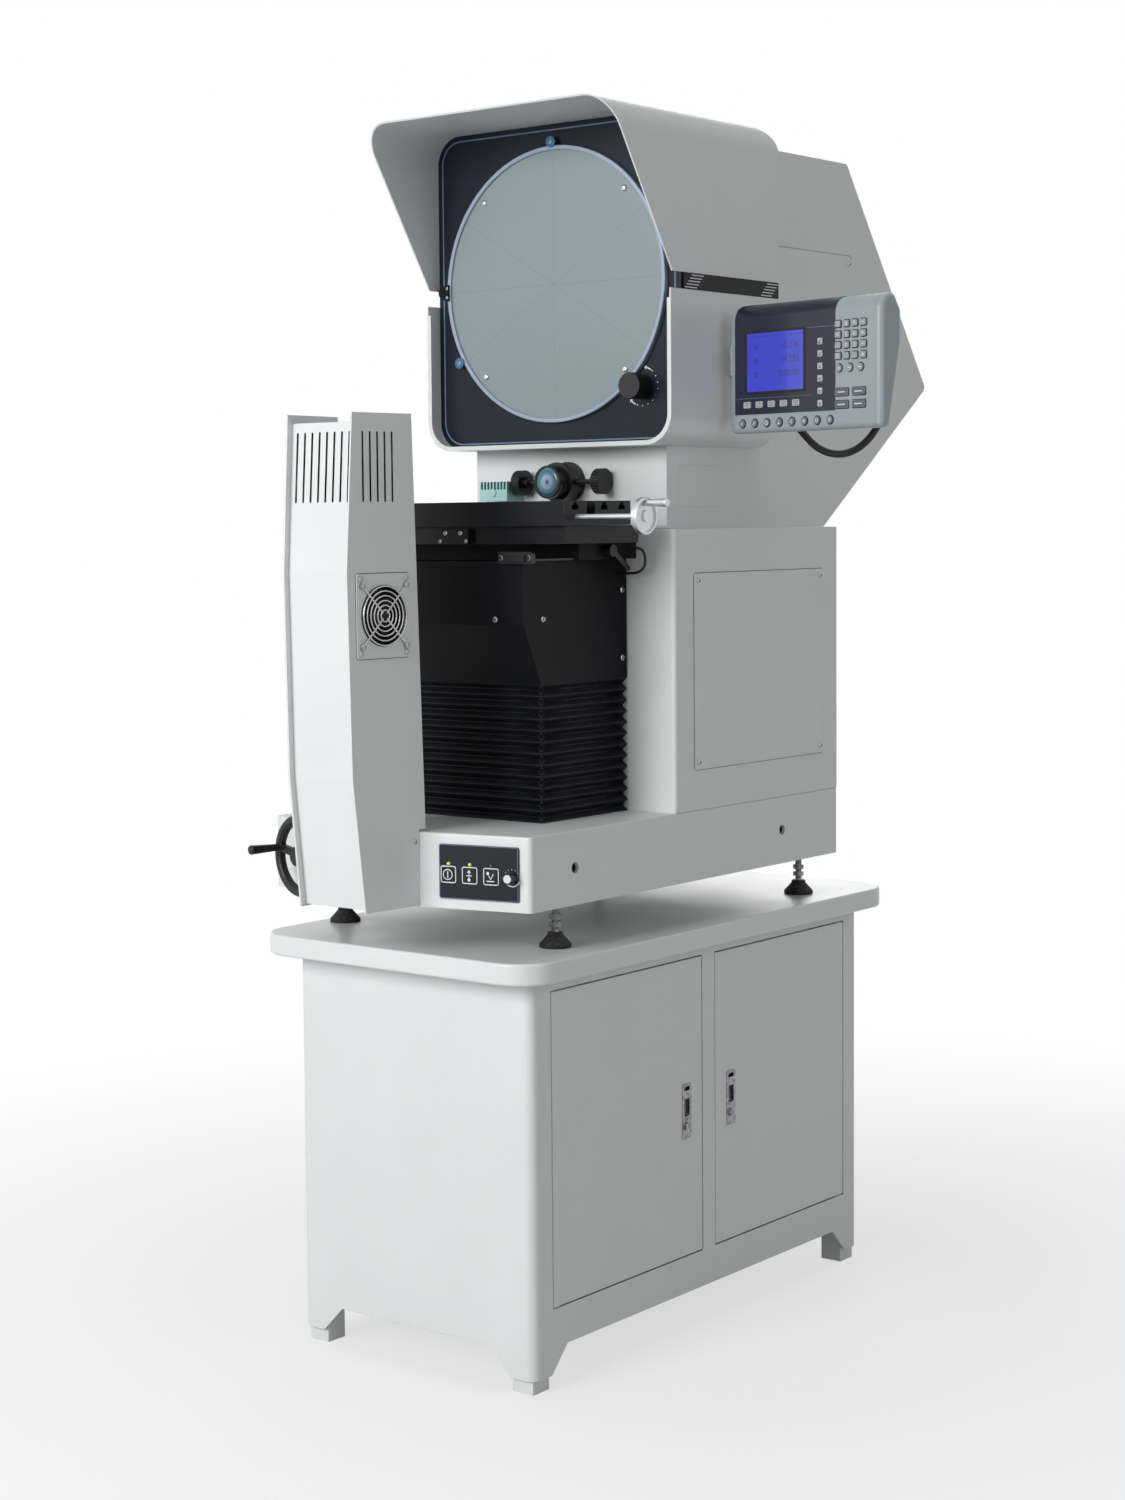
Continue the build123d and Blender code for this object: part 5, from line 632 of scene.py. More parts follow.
stageCable = {"points": [(176, 322, 1175.5), (196, 322, 1175.5), (205, 320, 1156.5), (200, 318, 1140.5),
                         (180, 318, 1136.5), (155, 318, 1136.5)], "thick": 4}
conduit = {"points": [(232, 583, 1375), (261, 583, 1375), (289, 581.5, 1364), (312, 578.5, 1341),
                      (338, 574, 1319), (371, 569, 1308), (406, 564, 1311), (437, 560, 1329),
                      (460, 555.9, 1358), (470, 549.9, 1389.5), (473, 531.9, 1417), (471.5, 503.9, 1432.5),
                      (467, 478.9, 1435), (460.97, 455.9, 1434.5)],
           "thick": 11, "root": 8.6, "ridge": 2.7, "sides": 18}


def route(name, points, thick):
    data = bpy.data.curves.new(name, "CURVE")
    data.dimensions = "3D"
    spline = data.splines.new("NURBS")
    spline.points.add(len(points) - 1)
    for knot, place in zip(spline.points, points):
        knot.co = (*at(*place), 1)
    spline.order_u, spline.resolution_u, spline.use_endpoint_u = 3, 16, True
    data.bevel_depth, data.bevel_resolution = thick / 2000, 5
    data.use_fill_caps = thick > 0
    return addObject(name, data)


def centreLine(points):
    run = route("centreLine", points, 0)
    mesh = plainMesh(run)
    line = [vertex.co.copy() for vertex in mesh.vertices]
    bpy.data.objects.remove(run)
    bpy.data.meshes.remove(mesh)
    return line


def walk(points, step):  # evenly spaced places along a line, and its length
    total = sum((b - a).length for a, b in zip(points, points[1:]))
    count = max(2, round(total / step))
    places, index, done = [], 0, 0.0
    for n in range(count + 1):
        target = total * n / count
        while index < len(points) - 2 and done + (points[index + 1] - points[index]).length < target:
            done += (points[index + 1] - points[index]).length
            index += 1
        a, b = points[index], points[index + 1]
        places.append(a.lerp(b, min(1.0, (target - done) / max((b - a).length, 1e-9))))
    return places, total


def ridgedTube(name, shape):
    places, total = walk(centreLine(shape["points"]), shape["ridge"] / 4000)
    bm = bmesh.new()
    side = Vector((0, 0, 1))
    rings = []
    for n, place in enumerate(places):
        ahead = (places[min(n + 1, len(places) - 1)] - places[max(n - 1, 0)]).normalized()
        side = (side - ahead * side.dot(ahead)).normalized()
        over = ahead.cross(side)
        wide = shape["thick"] if n % 4 in (1, 2) else shape["root"]
        rings.append([bm.verts.new(place + (side * math.cos(a) + over * math.sin(a)) * wide / 2000)
                      for a in (math.tau * k / shape["sides"] for k in range(shape["sides"]))])
    closeRings(bm, rings)
    piece = settle(name, bm, Matrix.Identity(4), "conduitPlastic", "instrument", True)
    return piece, places, total


cableLength = walk(centreLine(stageCable["points"]), 0.001)[1]
cable = route("stageLead", stageCable["points"], stageCable["thick"])
cable.data.materials.append(finishes["cableRubber"])
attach(cable, "lift")
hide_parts("stage_cable")
tube, tubePlaces, tubeLength = ridgedTube("readoutConduit", conduit)
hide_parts("display_conduit")
print("cords ready", round(cableLength, 4), round(tubeLength, 4))


# bellows: one pleated sheet round three sides

bellowsShape = {"halfWidth": 155.0, "front": 133.0, "rear": 339.0, "middle": 236, "low": 784.5, "high": 982.5,
                "margin": 0.3, "pleats": 12, "depth": 9.0, "sharpness": 0.95, "corner": 2.0, "rows": 10,
                "wall": 0.0012}


def newTree(name, inputs):
    tree = bpy.data.node_groups.new(name, "GeometryNodeTree")
    tree.interface.new_socket("Geometry", in_out="INPUT", socket_type="NodeSocketGeometry")
    for label, value in inputs.items():
        kind = "NodeSocketInt" if isinstance(value, int) else "NodeSocketFloat"
        tree.interface.new_socket(label, in_out="INPUT", socket_type=kind).default_value = value
    tree.interface.new_socket("Geometry", in_out="OUTPUT", socket_type="NodeSocketGeometry")
    return tree, put(tree, "NodeGroupInput").outputs


def closeTree(tree, geometry, look):
    real = put(tree, "GeometryNodeRealizeInstances", {0: geometry})
    coloured = put(tree, "GeometryNodeSetMaterial", {"Geometry": real.outputs[0], "Material": finishes[look]})
    put(tree, "NodeGroupOutput", {0: coloured.outputs[0]})
    return tree


def stored(tree, name, kind="FLOAT_VECTOR"):
    return put(tree, "GeometryNodeInputNamedAttribute", {"Name": name}, data_type=kind).outputs[0]


def grow(name, mesh, tree, values, look, body, extra=None, smooth=False):
    source = addObject(name + "Source", mesh)
    modifier = source.modifiers.new("grow", "NODES")
    modifier.node_group = tree
    for item in tree.interface.items_tree:
        if item.in_out == "INPUT" and item.name in values:
            modifier[item.identifier] = values[item.name]
    if extra:
        extra(source)
    made = plainMesh(source)
    bpy.data.objects.remove(source)
    made.name = name
    made.materials.clear()
    return dress(name, made, look, body, smooth)


def pleatTree():
    tree, given = newTree("pleats", {"Pleats": 12.0, "Depth": 0.009, "Low": 0.78, "High": 0.98,
                                     "Sharpness": 0.9})
    place = put(tree, "GeometryNodeInputPosition").outputs[0]
    height = put(tree, "ShaderNodeSeparateXYZ", {0: place}).outputs[2]
    turns = product(tree, spread(tree, height, given["Low"], given["High"]), given["Pleats"], math.pi)
    wave = calc(tree, "ARCSINE", calc(tree, "ABSOLUTE", calc(tree, "SINE", turns)))
    fold = calc(tree, "POWER", product(tree, wave, 2 / math.pi), given["Sharpness"])
    push = scaled(tree, stored(tree, "inward"), product(tree, fold, given["Depth"]))
    moved = put(tree, "GeometryNodeSetPosition", {"Geometry": given["Geometry"], "Offset": push})
    return closeTree(tree, moved.outputs[0], "bellowsCloth")


def makeBellows(shape):
    half, front, rear, corner = (shape[key] for key in ("halfWidth", "front", "rear", "corner"))
    plan = [(-half, rear - 60 * n, (1, 0)) for n in range(3)] + [(-half, front + corner, (1, 0))]
    for n in range(1, 5):
        spot = onCircle(-half + corner, front + corner, corner, 180 + 90 * n / 4)
        plan.append((*spot, onCircle(0, 0, 1, 90 * n / 4)))
    plan += [(x, front, (0, 1)) for x in (-75, 0)]
    plan += [(-x, y, (-dx, dy)) for x, y, (dx, dy) in plan[:-1][::-1]]
    bm = bmesh.new()
    layer = bm.verts.layers.float_vector.new("inward")
    foot, head = shape["low"] + shape["margin"], shape["high"] - shape["margin"]
    count = shape["pleats"] * shape["rows"]
    rows = []
    for row in range(count + 1):
        line = []
        for x, y, (dx, dy) in plan:
            vertex = bm.verts.new(at(x, y, foot + (head - foot) * row / count))
            vertex[layer] = (dx, dy, 0)
            line.append(vertex)
        rows.append(line)
    for one, two in zip(rows, rows[1:]):
        skin(bm, one, two, False)
    return meshFrom("bellowsSheet", bm)


def thicken(source):
    wall = source.modifiers.new("wall", "SOLIDIFY")
    wall.thickness, wall.offset = bellowsShape["wall"], -1.0


pleated = grow("pleatedBellows", makeBellows(bellowsShape), pleatTree(),
               {"Pleats": float(bellowsShape["pleats"]), "Depth": bellowsShape["depth"] / 1000,
                "Low": (bellowsShape["low"] + bellowsShape["margin"]) / 1000,
                "High": (bellowsShape["high"] - bellowsShape["margin"]) / 1000,
                "Sharpness": bellowsShape["sharpness"]}, "bellowsCloth", None, thicken, True)
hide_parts("bellows")
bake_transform(pleated)
print("bellows ready", len(pleated.data.polygons))


# screws: pan heads with a cross recess

screwShape = {"Cross Width": 0.22, "Cross Reach": 0.62, "Seed": 4}  # cross in shares of the head


def raised(tree, part, height):
    up = put(tree, "ShaderNodeCombineXYZ", {2: height})
    moved = put(tree, "GeometryNodeTransform", {"Geometry": part.outputs[0], "Translation": up.outputs[0]})
    return moved.outputs[0]


def facingOut(tree):
    facing = stored(tree, "facing")
    return put(tree, "FunctionNodeAlignRotationToVector", {"Vector": facing}, axis="Z").outputs[0]


def setOnPoints(tree, geometry, part, look, inputs):
    points = put(tree, "GeometryNodeMeshToPoints", {"Mesh": geometry})
    placed = put(tree, "GeometryNodeInstanceOnPoints", {"Points": points.outputs[0],
                                                        "Instance": part.outputs[0], **inputs})
    return closeTree(tree, placed.outputs[0], look)


def screwTree():
    tree, given = newTree("crossScrews", {"Head Radius": 0.0043, "Rise": 0.002, **screwShape})
    radius, rise = given["Head Radius"], given["Rise"]
    skirt = put(tree, "GeometryNodeMeshCylinder", {"Vertices": 20, "Radius": radius,
                                                   "Depth": product(tree, rise, 0.55)})
    crown = put(tree, "GeometryNodeMeshCone", {"Vertices": 20, "Radius Top": product(tree, radius, 0.7),
                                               "Radius Bottom": radius, "Depth": product(tree, rise, 0.45)})
    whole = put(tree, "GeometryNodeMeshBoolean", operation="UNION")
    tree.links.new(raised(tree, skirt, product(tree, rise, 0.275)), whole.inputs["Mesh 2"])
    tree.links.new(raised(tree, crown, product(tree, rise, 0.55)), whole.inputs["Mesh 2"])
    cut = put(tree, "GeometryNodeMeshBoolean", operation="DIFFERENCE")
    tree.links.new(whole.outputs[0], cut.inputs["Mesh 1"])
    long, thin = (product(tree, radius, 2.0, given[key]) for key in ("Cross Reach", "Cross Width"))
    for wide, deep in ((long, thin), (thin, long)):
        size = put(tree, "ShaderNodeCombineXYZ", {0: wide, 1: deep, 2: rise})
        block = put(tree, "GeometryNodeMeshCube", {"Size": size.outputs[0]})
        tree.links.new(raised(tree, block, product(tree, rise, 1.05)), cut.inputs["Mesh 2"])
    spin = put(tree, "FunctionNodeRandomValue", {"Max": 3.1, "Seed": given["Seed"]}, data_type="FLOAT")
    angle = [s for s in spin.outputs if s.enabled][0]
    turn = put(tree, "FunctionNodeAxisAngleToRotation", {"Axis": (0, 0, 1), "Angle": angle}).outputs[0]
    both = put(tree, "FunctionNodeRotateRotation", {0: facingOut(tree), 1: turn}, rotation_space="LOCAL")
    return setOnPoints(tree, given["Geometry"], cut, "screwSteel", {"Rotation": both.outputs[0]})


def pointCloud(name, spots):
    mesh = bpy.data.meshes.new(name)
    mesh.from_pydata([tuple(place) for place, facing in spots], [], [])
    layer = mesh.attributes.new("facing", "FLOAT_VECTOR", "POINT")
    for n, (place, facing) in enumerate(spots):
        layer.data[n].vector = facing
    return mesh


def onFace(face, points):
    out = (face.to_3x3() @ Vector((0, 0, 1))).normalized()
    return [(face @ Vector(point), out) for point in points]


def corners(x, y, halfWidth, halfHeight, height):
    return [(x + sx * halfWidth, y + sy * halfHeight, height) for sx in (-1, 1) for sy in (-1, 1)]


screws = screwTree()


def addScrews(name, spots, body, radius=4.3, rise=2.1):
    values = {"Head Radius": radius / 1000, "Rise": rise / 1000, **screwShape}
    return grow(name, pointCloud(name, spots), screws, values, "screwSteel", body)


fanMiddle = (39.13, 1088)
coverScrews = addScrews("coverScrews", onFace(flankFace, corners(569, 990, 168.5, 134.5, 241.5)
                                              + corners(790, 1512.5, 132, 114.5, 183.5)), "instrument")
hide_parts("cover_screws")
addScrews("fanPlateScrews", onFace(towerFace, corners(*fanMiddle, 43, 51, 2.0)), "instrument", 4.3, 2.2)
addScrews("guardScrews", onFace(towerFace, corners(*fanMiddle, 41.25, 41.25, 6.2)), "instrument", 3.4, 1.8)
addScrews("towerScrew", onFace(towerFace, [(95.5, 771, 0.0)]), "instrument", 3.6, 1.8)
boxSpots = onFace(flankFace, [(327, z, 155.0) for z in (1112.5, 1012.5)])
boxSpots += onFace(leftFace, [(-327, z, 155.0) for z in (1112.5, 1012.5)])
boxSpots += onFace(flankFace, [(137, 1076, 155.0)]) + onFace(leftFace, [(-137, 1076, 155.0)])
boxSpots += onFace(frontFace, [(x, 1076, -94.0) for x in (-104, 104)])
addScrews("boxScrews", boxSpots, "lift", 4.5, 2.4)
for name, places, height, depth, body, radius, rise in (
        ("rodScrews", (5, 33), 1199, -104.0, "saddle", 3.8, 2.0),
        ("railScrews", (-5, 43), 1187, -104.0, "saddle", 3.0, 1.6),
        ("connectorScrews", (123, 173), 1163.5, -84.0, "lift", 3.6, 1.8)):
    addScrews(name, onFace(frontFace, [(x, height, depth) for x in places]), body, radius, rise)
print("screws ready")


# bezel: edge line, dotted arc beside the knob, roller screws

bezelShape = {"halfWidth": 221.5, "low": -236.5, "high": 233.0, "corner": 36, "line": 2.2}
knobArc = {"middle": (160, -159), "radius": 28.5, "dots": 9, "dotSize": 0.95, "dotRise": 0.2, "start": 50,
           "sweep": 158, "arrows": ((56, 74, 8), (-114, -132, -8)), "halfLine": 1.0, "halfHead": 3}
rollers = {"circle": 213, "screws": (("rollerTopScrew", "roller_top", 90),
                                     ("rollerLeftScrew", "roller_left", 211))}


def addBezelLine(shape):
    bm = bmesh.new()
    width, height = 2 * shape["halfWidth"], shape["high"] - shape["low"]
    line, corner = shape["line"], shape["corner"]
    rim(bm, 0, (shape["high"] + shape["low"]) / 2, (width, height, corner),
        (width - 2 * line, height - 2 * line, corner - line), *inkLayer, 8)
    settle("bezelLine", bm, bezelFace, "blueInk", "instrument")


def dotTree():
    tree, given = newTree("dots", {"Size": 0.9, "Rise": 0.2})
    dot = put(tree, "GeometryNodeMeshCylinder", {"Vertices": 12, "Radius": given["Size"],
                                                 "Depth": given["Rise"]})
    turned = {"Rotation": facingOut(tree), "Scale": stored(tree, "swell", "FLOAT")}
    return setOnPoints(tree, given["Geometry"], dot, "markInk", turned)


def addKnobArc(shape):
    x, y = shape["middle"]
    reach, last, half = shape["radius"], shape["dots"] - 1, shape["halfLine"]
    spots = [(*onCircle(x, y, reach, shape["start"] - shape["sweep"] * n / last), 0.1) for n in range(last + 1)]
    mesh = pointCloud("knobDots", onFace(bezelFace, spots))
    swell = mesh.attributes.new("swell", "FLOAT", "POINT")
    for n in range(last + 1):  # larger towards both ends
        swell.data[n].value = 0.65 + 0.5 * abs(2 * n / last - 1)
    values = {"Size": shape["dotSize"] / 1000, "Rise": shape["dotRise"] / 1000}
    grow("knobDots", mesh, dotTree(), values, "markInk", "instrument")
    bm = bmesh.new()
    for start, stop, point in shape["arrows"]:
        band(bm, ringPoints(x, y, reach + half, start, stop, 7), ringPoints(x, y, reach - half, start, stop, 7),
             *inkLayer, False)
        slab(bm, [onCircle(x, y, reach, stop + point), onCircle(x, y, reach + shape["halfHead"], stop),
                  onCircle(x, y, reach - shape["halfHead"], stop)], *inkLayer)
    settle("knobArrows", bm, bezelFace, "markInk", "instrument")


def reachOf(name):  # how far a node stands out from the bezel
    return (homeY + bezelBack / 1000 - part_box(name)[0].y) * 1000


addBezelLine(bezelShape)
addKnobArc(knobArc)
for name, roller, angle in rollers["screws"]:
    spot = (*onCircle(0, 0, rollers["circle"], angle), reachOf(roller))
    addScrews(name, onFace(bezelFace, [spot]), roller, 3.6, 1.4)


# index: half disc over the ring, zero mark of the screen's angle

indexShape = {"flat": -202.0, "reach": 20.0, "half": 12.5, "thick": 2.5, "foot": (-219.0, -209.5, 6.0),
              "screws": (-204.8, 7.0), "boss": 0.8}


def addIndexDisc(shape):
    top = reachOf("index_plate") - shape["boss"]
    curve = [(shape["flat"] + shape["reach"] * math.cos(a), shape["half"] * math.sin(a))
             for a in (math.radians(90 + 10 * n) for n in range(19))]
    left, right, half = shape["foot"]
    bm = bmesh.new()
    slab(bm, curve, top - shape["thick"], top)
    slab(bm, [(left, -half), (right, -half), (right, half), (left, half)], 0.0, top - shape["thick"] + 0.1)
    disc = settle("indexDisc", bm, bezelFace, "stripFilm", "instrument")
    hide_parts("index_plate")
    x, y = shape["screws"]
    addScrews("indexScrews", onFace(bezelFace, [(x, y, top), (x, -y, top)]), "instrument", 2.6, 1.0)


addIndexDisc(indexShape)


# painted shade in the gaps round the screwed covers and inside the lifting-bar holes

gapShape = {"wide": 1.0, "thick": 0.1, "corner": 4}
coverGaps = {"sideCoverGap": (flankFace, 569, 990, 357, 291, 240.01),
             "serviceCoverGap": (flankFace, 790, 1512.5, 280, 255, 182.01),
             "fanPlateGap": (towerFace, *fanMiddle, 100, 116, 0.01)}
holeShape = {"places": (97, 629), "height": 732, "radius": 13, "layer": (234.0, 234.4)}
for name, (face, x, y, width, height, low) in coverGaps.items():
    wide, corner = gapShape["wide"], gapShape["corner"]
    bm = bmesh.new()
    rim(bm, x, y, (width + 2 * wide, height + 2 * wide, corner + wide), (width, height, corner), low,
        low + gapShape["thick"])
    settle(name, bm, face, "gapShade", "instrument")
for name, face, sign in (("holeShadeRight", flankFace, 1), ("holeShadeLeft", leftFace, -1)):
    bm = bmesh.new()
    for y in holeShape["places"]:
        slab(bm, ringPoints(sign * y, holeShape["height"], holeShape["radius"], count=24), *holeShape["layer"])
    settle(name, bm, face, "hollow", "instrument")
print("covers ready")


# strips: slanting lines at both ends

stripShape = {"front": 384, "rear": 586, "low": 1553.8, "high": 1571.7, "lines": 5, "line": 1.5, "slant": 4.3,
              "frontLength": 31, "rearLength": 30, "layer": (231.5, 231.72)}


def addStripMarks(shape):
    step = (shape["high"] - shape["low"]) / (shape["lines"] - 1)
    half = shape["line"] / 2
    for name, face, sign in (("stripMarksRight", flankFace, 1), ("stripMarksLeft", leftFace, -1)):
        bm = bmesh.new()
        for n in range(shape["lines"]):
            z = shape["low"] + step * n
            for start, length in ((shape["front"], shape["frontLength"]), (shape["rear"], shape["rearLength"])):
                left, right = sorted(sign * (start + shape["slant"] * n + reach) for reach in (0, length))
                slab(bm, [(left, z - half), (right, z - half), (right, z + half), (left, z + half)],
                     *shape["layer"])
        settle(name, bm, face, "markInk", "instrument")


addStripMarks(stripShape)


# control panel: frames, signs and lamps

panelShape = {"edge": ((122, 75, 3), (120.4, 73.4, 2.4)), "frame": ((24, 24, 3.2), (21, 21, 2.0)), "row": -4.0,
              "plate": 3.0, "buttonTop": 6.0, "lampRow": 11.0, "lampRadius": 2.55, "knob": (51.4, -4.0),
              "knobTop": 17.5, "cap": 5.8, "ticks": 9, "arc": 11.4}
panelButtons = {
    "power": (-46.5, "greenLamp", (("ring", 7.6, 6.4, 32), ("bar", 0, -4.6, 0, 4.6, 1.5))),
    "contour": (-13.3, "greenLamp", (("bar", 0, -4, 0, 6, 1.2), ("area", (-3.2, 4), (3.2, 4), (0, 8.4)),
                                     ("bar", -4.5, 0, 4.5, 0, 1.2, overlap), ("disc", 0, -5.8, 2.3, 16))),
    "surface": (19.9, "darkLamp", (("disc", -4.2, 4.6, 2.2, 16), ("bar", -3, 2, 0.5, -3.5, 1.2),
                                   ("bar", 0.5, -3.5, 4.5, 4.5, 1.2, overlap),
                                   ("bar", -6, -6.2, 6, -6.2, 1.4))),
}


def addPanelMarks(shape):
    top, row = shape["plate"], shape["row"]
    layer = (top + 0.02, top + 0.2)
    bm = bmesh.new()
    rim(bm, 0, 0, *shape["edge"], top, top + 0.12)
    settle("panelEdge", bm, panelFace, "blueInk", "instrument")
    bm = bmesh.new()
    for x, *rest in panelButtons.values():
        rim(bm, x, row, *shape["frame"], top + 0.9, top + 1.15)
    cx, cy = shape["knob"]
    arc = shape["arc"]
    for n in range(shape["ticks"]):
        ends = [onCircle(cx, cy, arc + far, -20 + 27.5 * n) for far in (-0.8, 1.0)]
        bar(bm, *ends, 0.6, *layer)
    angles = range(205, 336, 10)  # a line that widens with the brightness
    band(bm, [onCircle(cx, cy, arc + (a - 200) * 0.02, a) for a in angles],
         [onCircle(cx, cy, arc - 0.2, a) for a in angles], *layer, False)
    settle("panelMarks", bm, panelFace, "markInk", "instrument")
    for name, (x, look, sign) in panelButtons.items():
        bm = bmesh.new()
        drawSign(bm, sign, x, row, shape["buttonTop"] + 0.01, shape["buttonTop"] + 0.15)
        settle(name + "Sign", bm, panelFace, "markInk", name + "_button")
    for name, (x, look, sign) in panelButtons.items():
        bm = bmesh.new()
        bmesh.ops.create_uvsphere(bm, u_segments=20, v_segments=12, radius=shape["lampRadius"],
                                  matrix=Matrix.Translation((x, shape["lampRow"], top + 0.2)))
        bmesh.ops.delete(bm, geom=[v for v in bm.verts if v.co.z < top - 0.2], context="VERTS")
        bmesh.ops.holes_fill(bm, edges=bm.edges)
        settle(name + "Lamp", bm, panelFace, look, "instrument", True)
    bm = bmesh.new()
    slab(bm, ringPoints(cx, cy, shape["cap"], count=28), shape["knobTop"] - 0.02, shape["knobTop"] + 0.2)
    settle("knobCap", bm, panelFace, "markInk", "brightness_knob")


addPanelMarks(panelShape)
print("head and panel marks ready")


# readout: rounded case, film over its top roll, lit window, painted shade round the keys, and the keys' signs

readoutShape = {"width": 297, "endRound": 8, "wall": 3, "seam": 285, "groove": 0.7, "film": 0.7, "filmLeft": 12,
                "filmRight": 211, "filmLow": 27, "filmBack": 27, "roll": (24, 164), "window": (93, 102.5),
                "glow": (114, 85), "opening": (120, 91), "keyTop": 2.2, "keyPlay": 0.4,
                "conduitHole": (205, 94, 13), "ears": {"leftEar": 34, "rightEar": 150}, "earWidth": 14,
                "earPlace": (56, 110), "earFoot": 40, "earRound": 11, "barHole": 6.4}
caseCorners = [((0, 0), 8, 5), ((20, 0), 8, 5), ((44, 120), 30, 2), ((44, 165), 10, 3), ((30, 188), 8, 4),
               ((0, 188), 24, 10)]  # (back, up), radius, steps
keySpots = {
    "number": [(217 + 15.8 * n, 148 - 15 * m, 10.5, 9) for n in range(4) for m in range(4)],
    "round": [(219 + 20 * n, 86, 5.2) for n in range(3)],
    "wide": [(x, y, 24, 10) for x in (224, 256) for y in (52, 34.5)],
    "menu": [(38 + 24.4 * n, 41, 14, 9) for n in range(5)],
    "side": [(183, 126 - 17.6 * n, 9, 9) for n in range(6)],
    "shape": [(27 + 24.9 * n, 14, 5.6) for n in range(8)],
}
minusSign, plusBar = ("bar", -2.6, 0, 2.6, 0, 1.0), ("bar", 0, -2.6, 0, 2.6, 1.0, overlap)
menuSign = (("frame", (9.6, 5.6, 1), (8.2, 4.2, 0.6)), ("bar", -1.8, 0, 1.8, 0, 1.2, overlap))
shapeSigns = (
    (("disc", 0, 0, 1.3, 12),),
    (("bar", -2.6, -2.4, 2.6, 2.4, 1.2),),
    (("ring", 3.2, 2.1, 20),),
    (("bar", -2.4, -2.2, 2.4, -2.2, 1.1), ("bar", 0, 2.6, 0, -2.2, 1.1, overlap)),
    (("bar", -2.6, 0, 2.4, 2.4, 1.1), ("bar", -2.6, 0, 2.4, -2.4, 1.1, overlap)),
    (("bar", -2.8, 0, 2.8, 0, 1.2), ("bar", 0, -2.8, 0, 2.8, 1.2, overlap)),
    (("frame", (5.6, 4.6, 0.8), (3.6, 2.6, 0.5)),),
    tuple(("bar", -2.6, -2 + 2 * n, 2.6, -2 + 2 * n, 0.9) for n in range(3)),
)


def caseLine(inset):  # the case's outline seen from its right end, (back, up)
    line = []
    count = len(caseCorners)
    for n, (corner, radius, steps) in enumerate(caseCorners):
        before, after = Vector(caseCorners[n - 1][0]), Vector(caseCorners[(n + 1) % count][0])
        here = Vector(corner)
        into, away = (here - before).normalized(), (after - here).normalized()
        start = math.atan2(into.y, into.x) - math.pi / 2
        turned = (math.atan2(away.y, away.x) - math.atan2(into.y, into.x)) % math.tau
        middle = here - into * radius * math.tan(turned / 2) + Vector((-into.y, into.x)) * radius
        line += [(middle.x + (radius - inset) * math.cos(start + turned * k / steps),
                  middle.y + (radius - inset) * math.sin(start + turned * k / steps)) for k in range(steps + 1)]
    return line


def loft(bm, stations):  # rings of (back, up) points at places along the case
    closeRings(bm, [[bm.verts.new((u, up, -back)) for back, up in line] for u, line in stations])


def keyOutline(spot, larger, corner, count=28, steps=4):
    x, y, *size = spot
    if len(size) == 1:
        return ringPoints(x, y, size[0] + larger, count=count)
    return roundedBox(x, y, size[0] + 2 * larger, size[1] + 2 * larger, corner, steps)


def cutKeys(bm, names, larger, low, high):
    for spot in (spot for name in names for spot in keySpots[name]):
        slab(bm, keyOutline(spot, larger, 1.5 + larger), low, high)


def carve(bm, *cutters):
    whole, *tools = (addObject("carving", meshFrom("carving", part)) for part in (bm, *cutters))
    for tool in tools:
        cut = whole.modifiers.new("cut", "BOOLEAN")
        cut.operation, cut.solver, cut.object = "DIFFERENCE", "EXACT", tool
    carved = plainMesh(whole)
    for made in (whole, *tools):
        bpy.data.objects.remove(made)
    result = bmesh.new()
    result.from_mesh(carved)
    bpy.data.meshes.remove(carved)
    return result


def settleRounded(name, bm, look):
    piece = settle(name, bm, caseFace, look, "readout")
    piece.data.set_sharp_from_angle(angle=math.radians(32))
    for polygon in piece.data.polygons:
        polygon.use_smooth = True
    return piece


def makeCase(shape):
    radius, width, wall, seam, groove = (shape[key] for key in ("endRound", "width", "wall", "seam", "groove"))
    ends = [(radius * (1 - math.cos(a)), radius * (1 - math.sin(a)))
            for a in (math.radians(15 * k) for k in range(7))]
    stations = [(u, caseLine(inset)) for u, inset in ends]
    stations += [(seam - groove, caseLine(0)), (seam, caseLine(0.8)), (seam + groove, caseLine(0))]
    stations += [(width - u, caseLine(inset)) for u, inset in ends[::-1]]
    bm, room, holes = bmesh.new(), bmesh.new(), bmesh.new()
    loft(bm, stations)
    loft(room, [(wall, caseLine(wall)), (width - wall, caseLine(wall))])
    cutKeys(holes, keySpots, shape["keyPlay"], -5, 2)
    slab(holes, roundedBox(*shape["window"], *shape["opening"], 1, 2), -5, 2)
    slab(holes, ringPoints(*shape["conduitHole"], count=40), -52, -28)
    piece = settleRounded("readoutShell", carve(bm, room, holes), "casePlastic")
    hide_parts("display_case")
    (back, up), reach, foot = shape["earPlace"], shape["earRound"], shape["earFoot"]
    line = [(foot, up + reach), (foot, up - reach)] + ringPoints(back, up, reach, -90, 90, 17)
    hole = ringPoints(back, up, shape["barHole"], count=32)
    for name, start in shape["ears"].items():
        bm, bore = bmesh.new(), bmesh.new()
        loft(bm, [(start, line), (start + shape["earWidth"], line)])
        loft(bore, [(start - 2, hole), (start + shape["earWidth"] + 2, hole)])
        settle(name, carve(bm, bore), caseFace, "casePlastic", "readout")


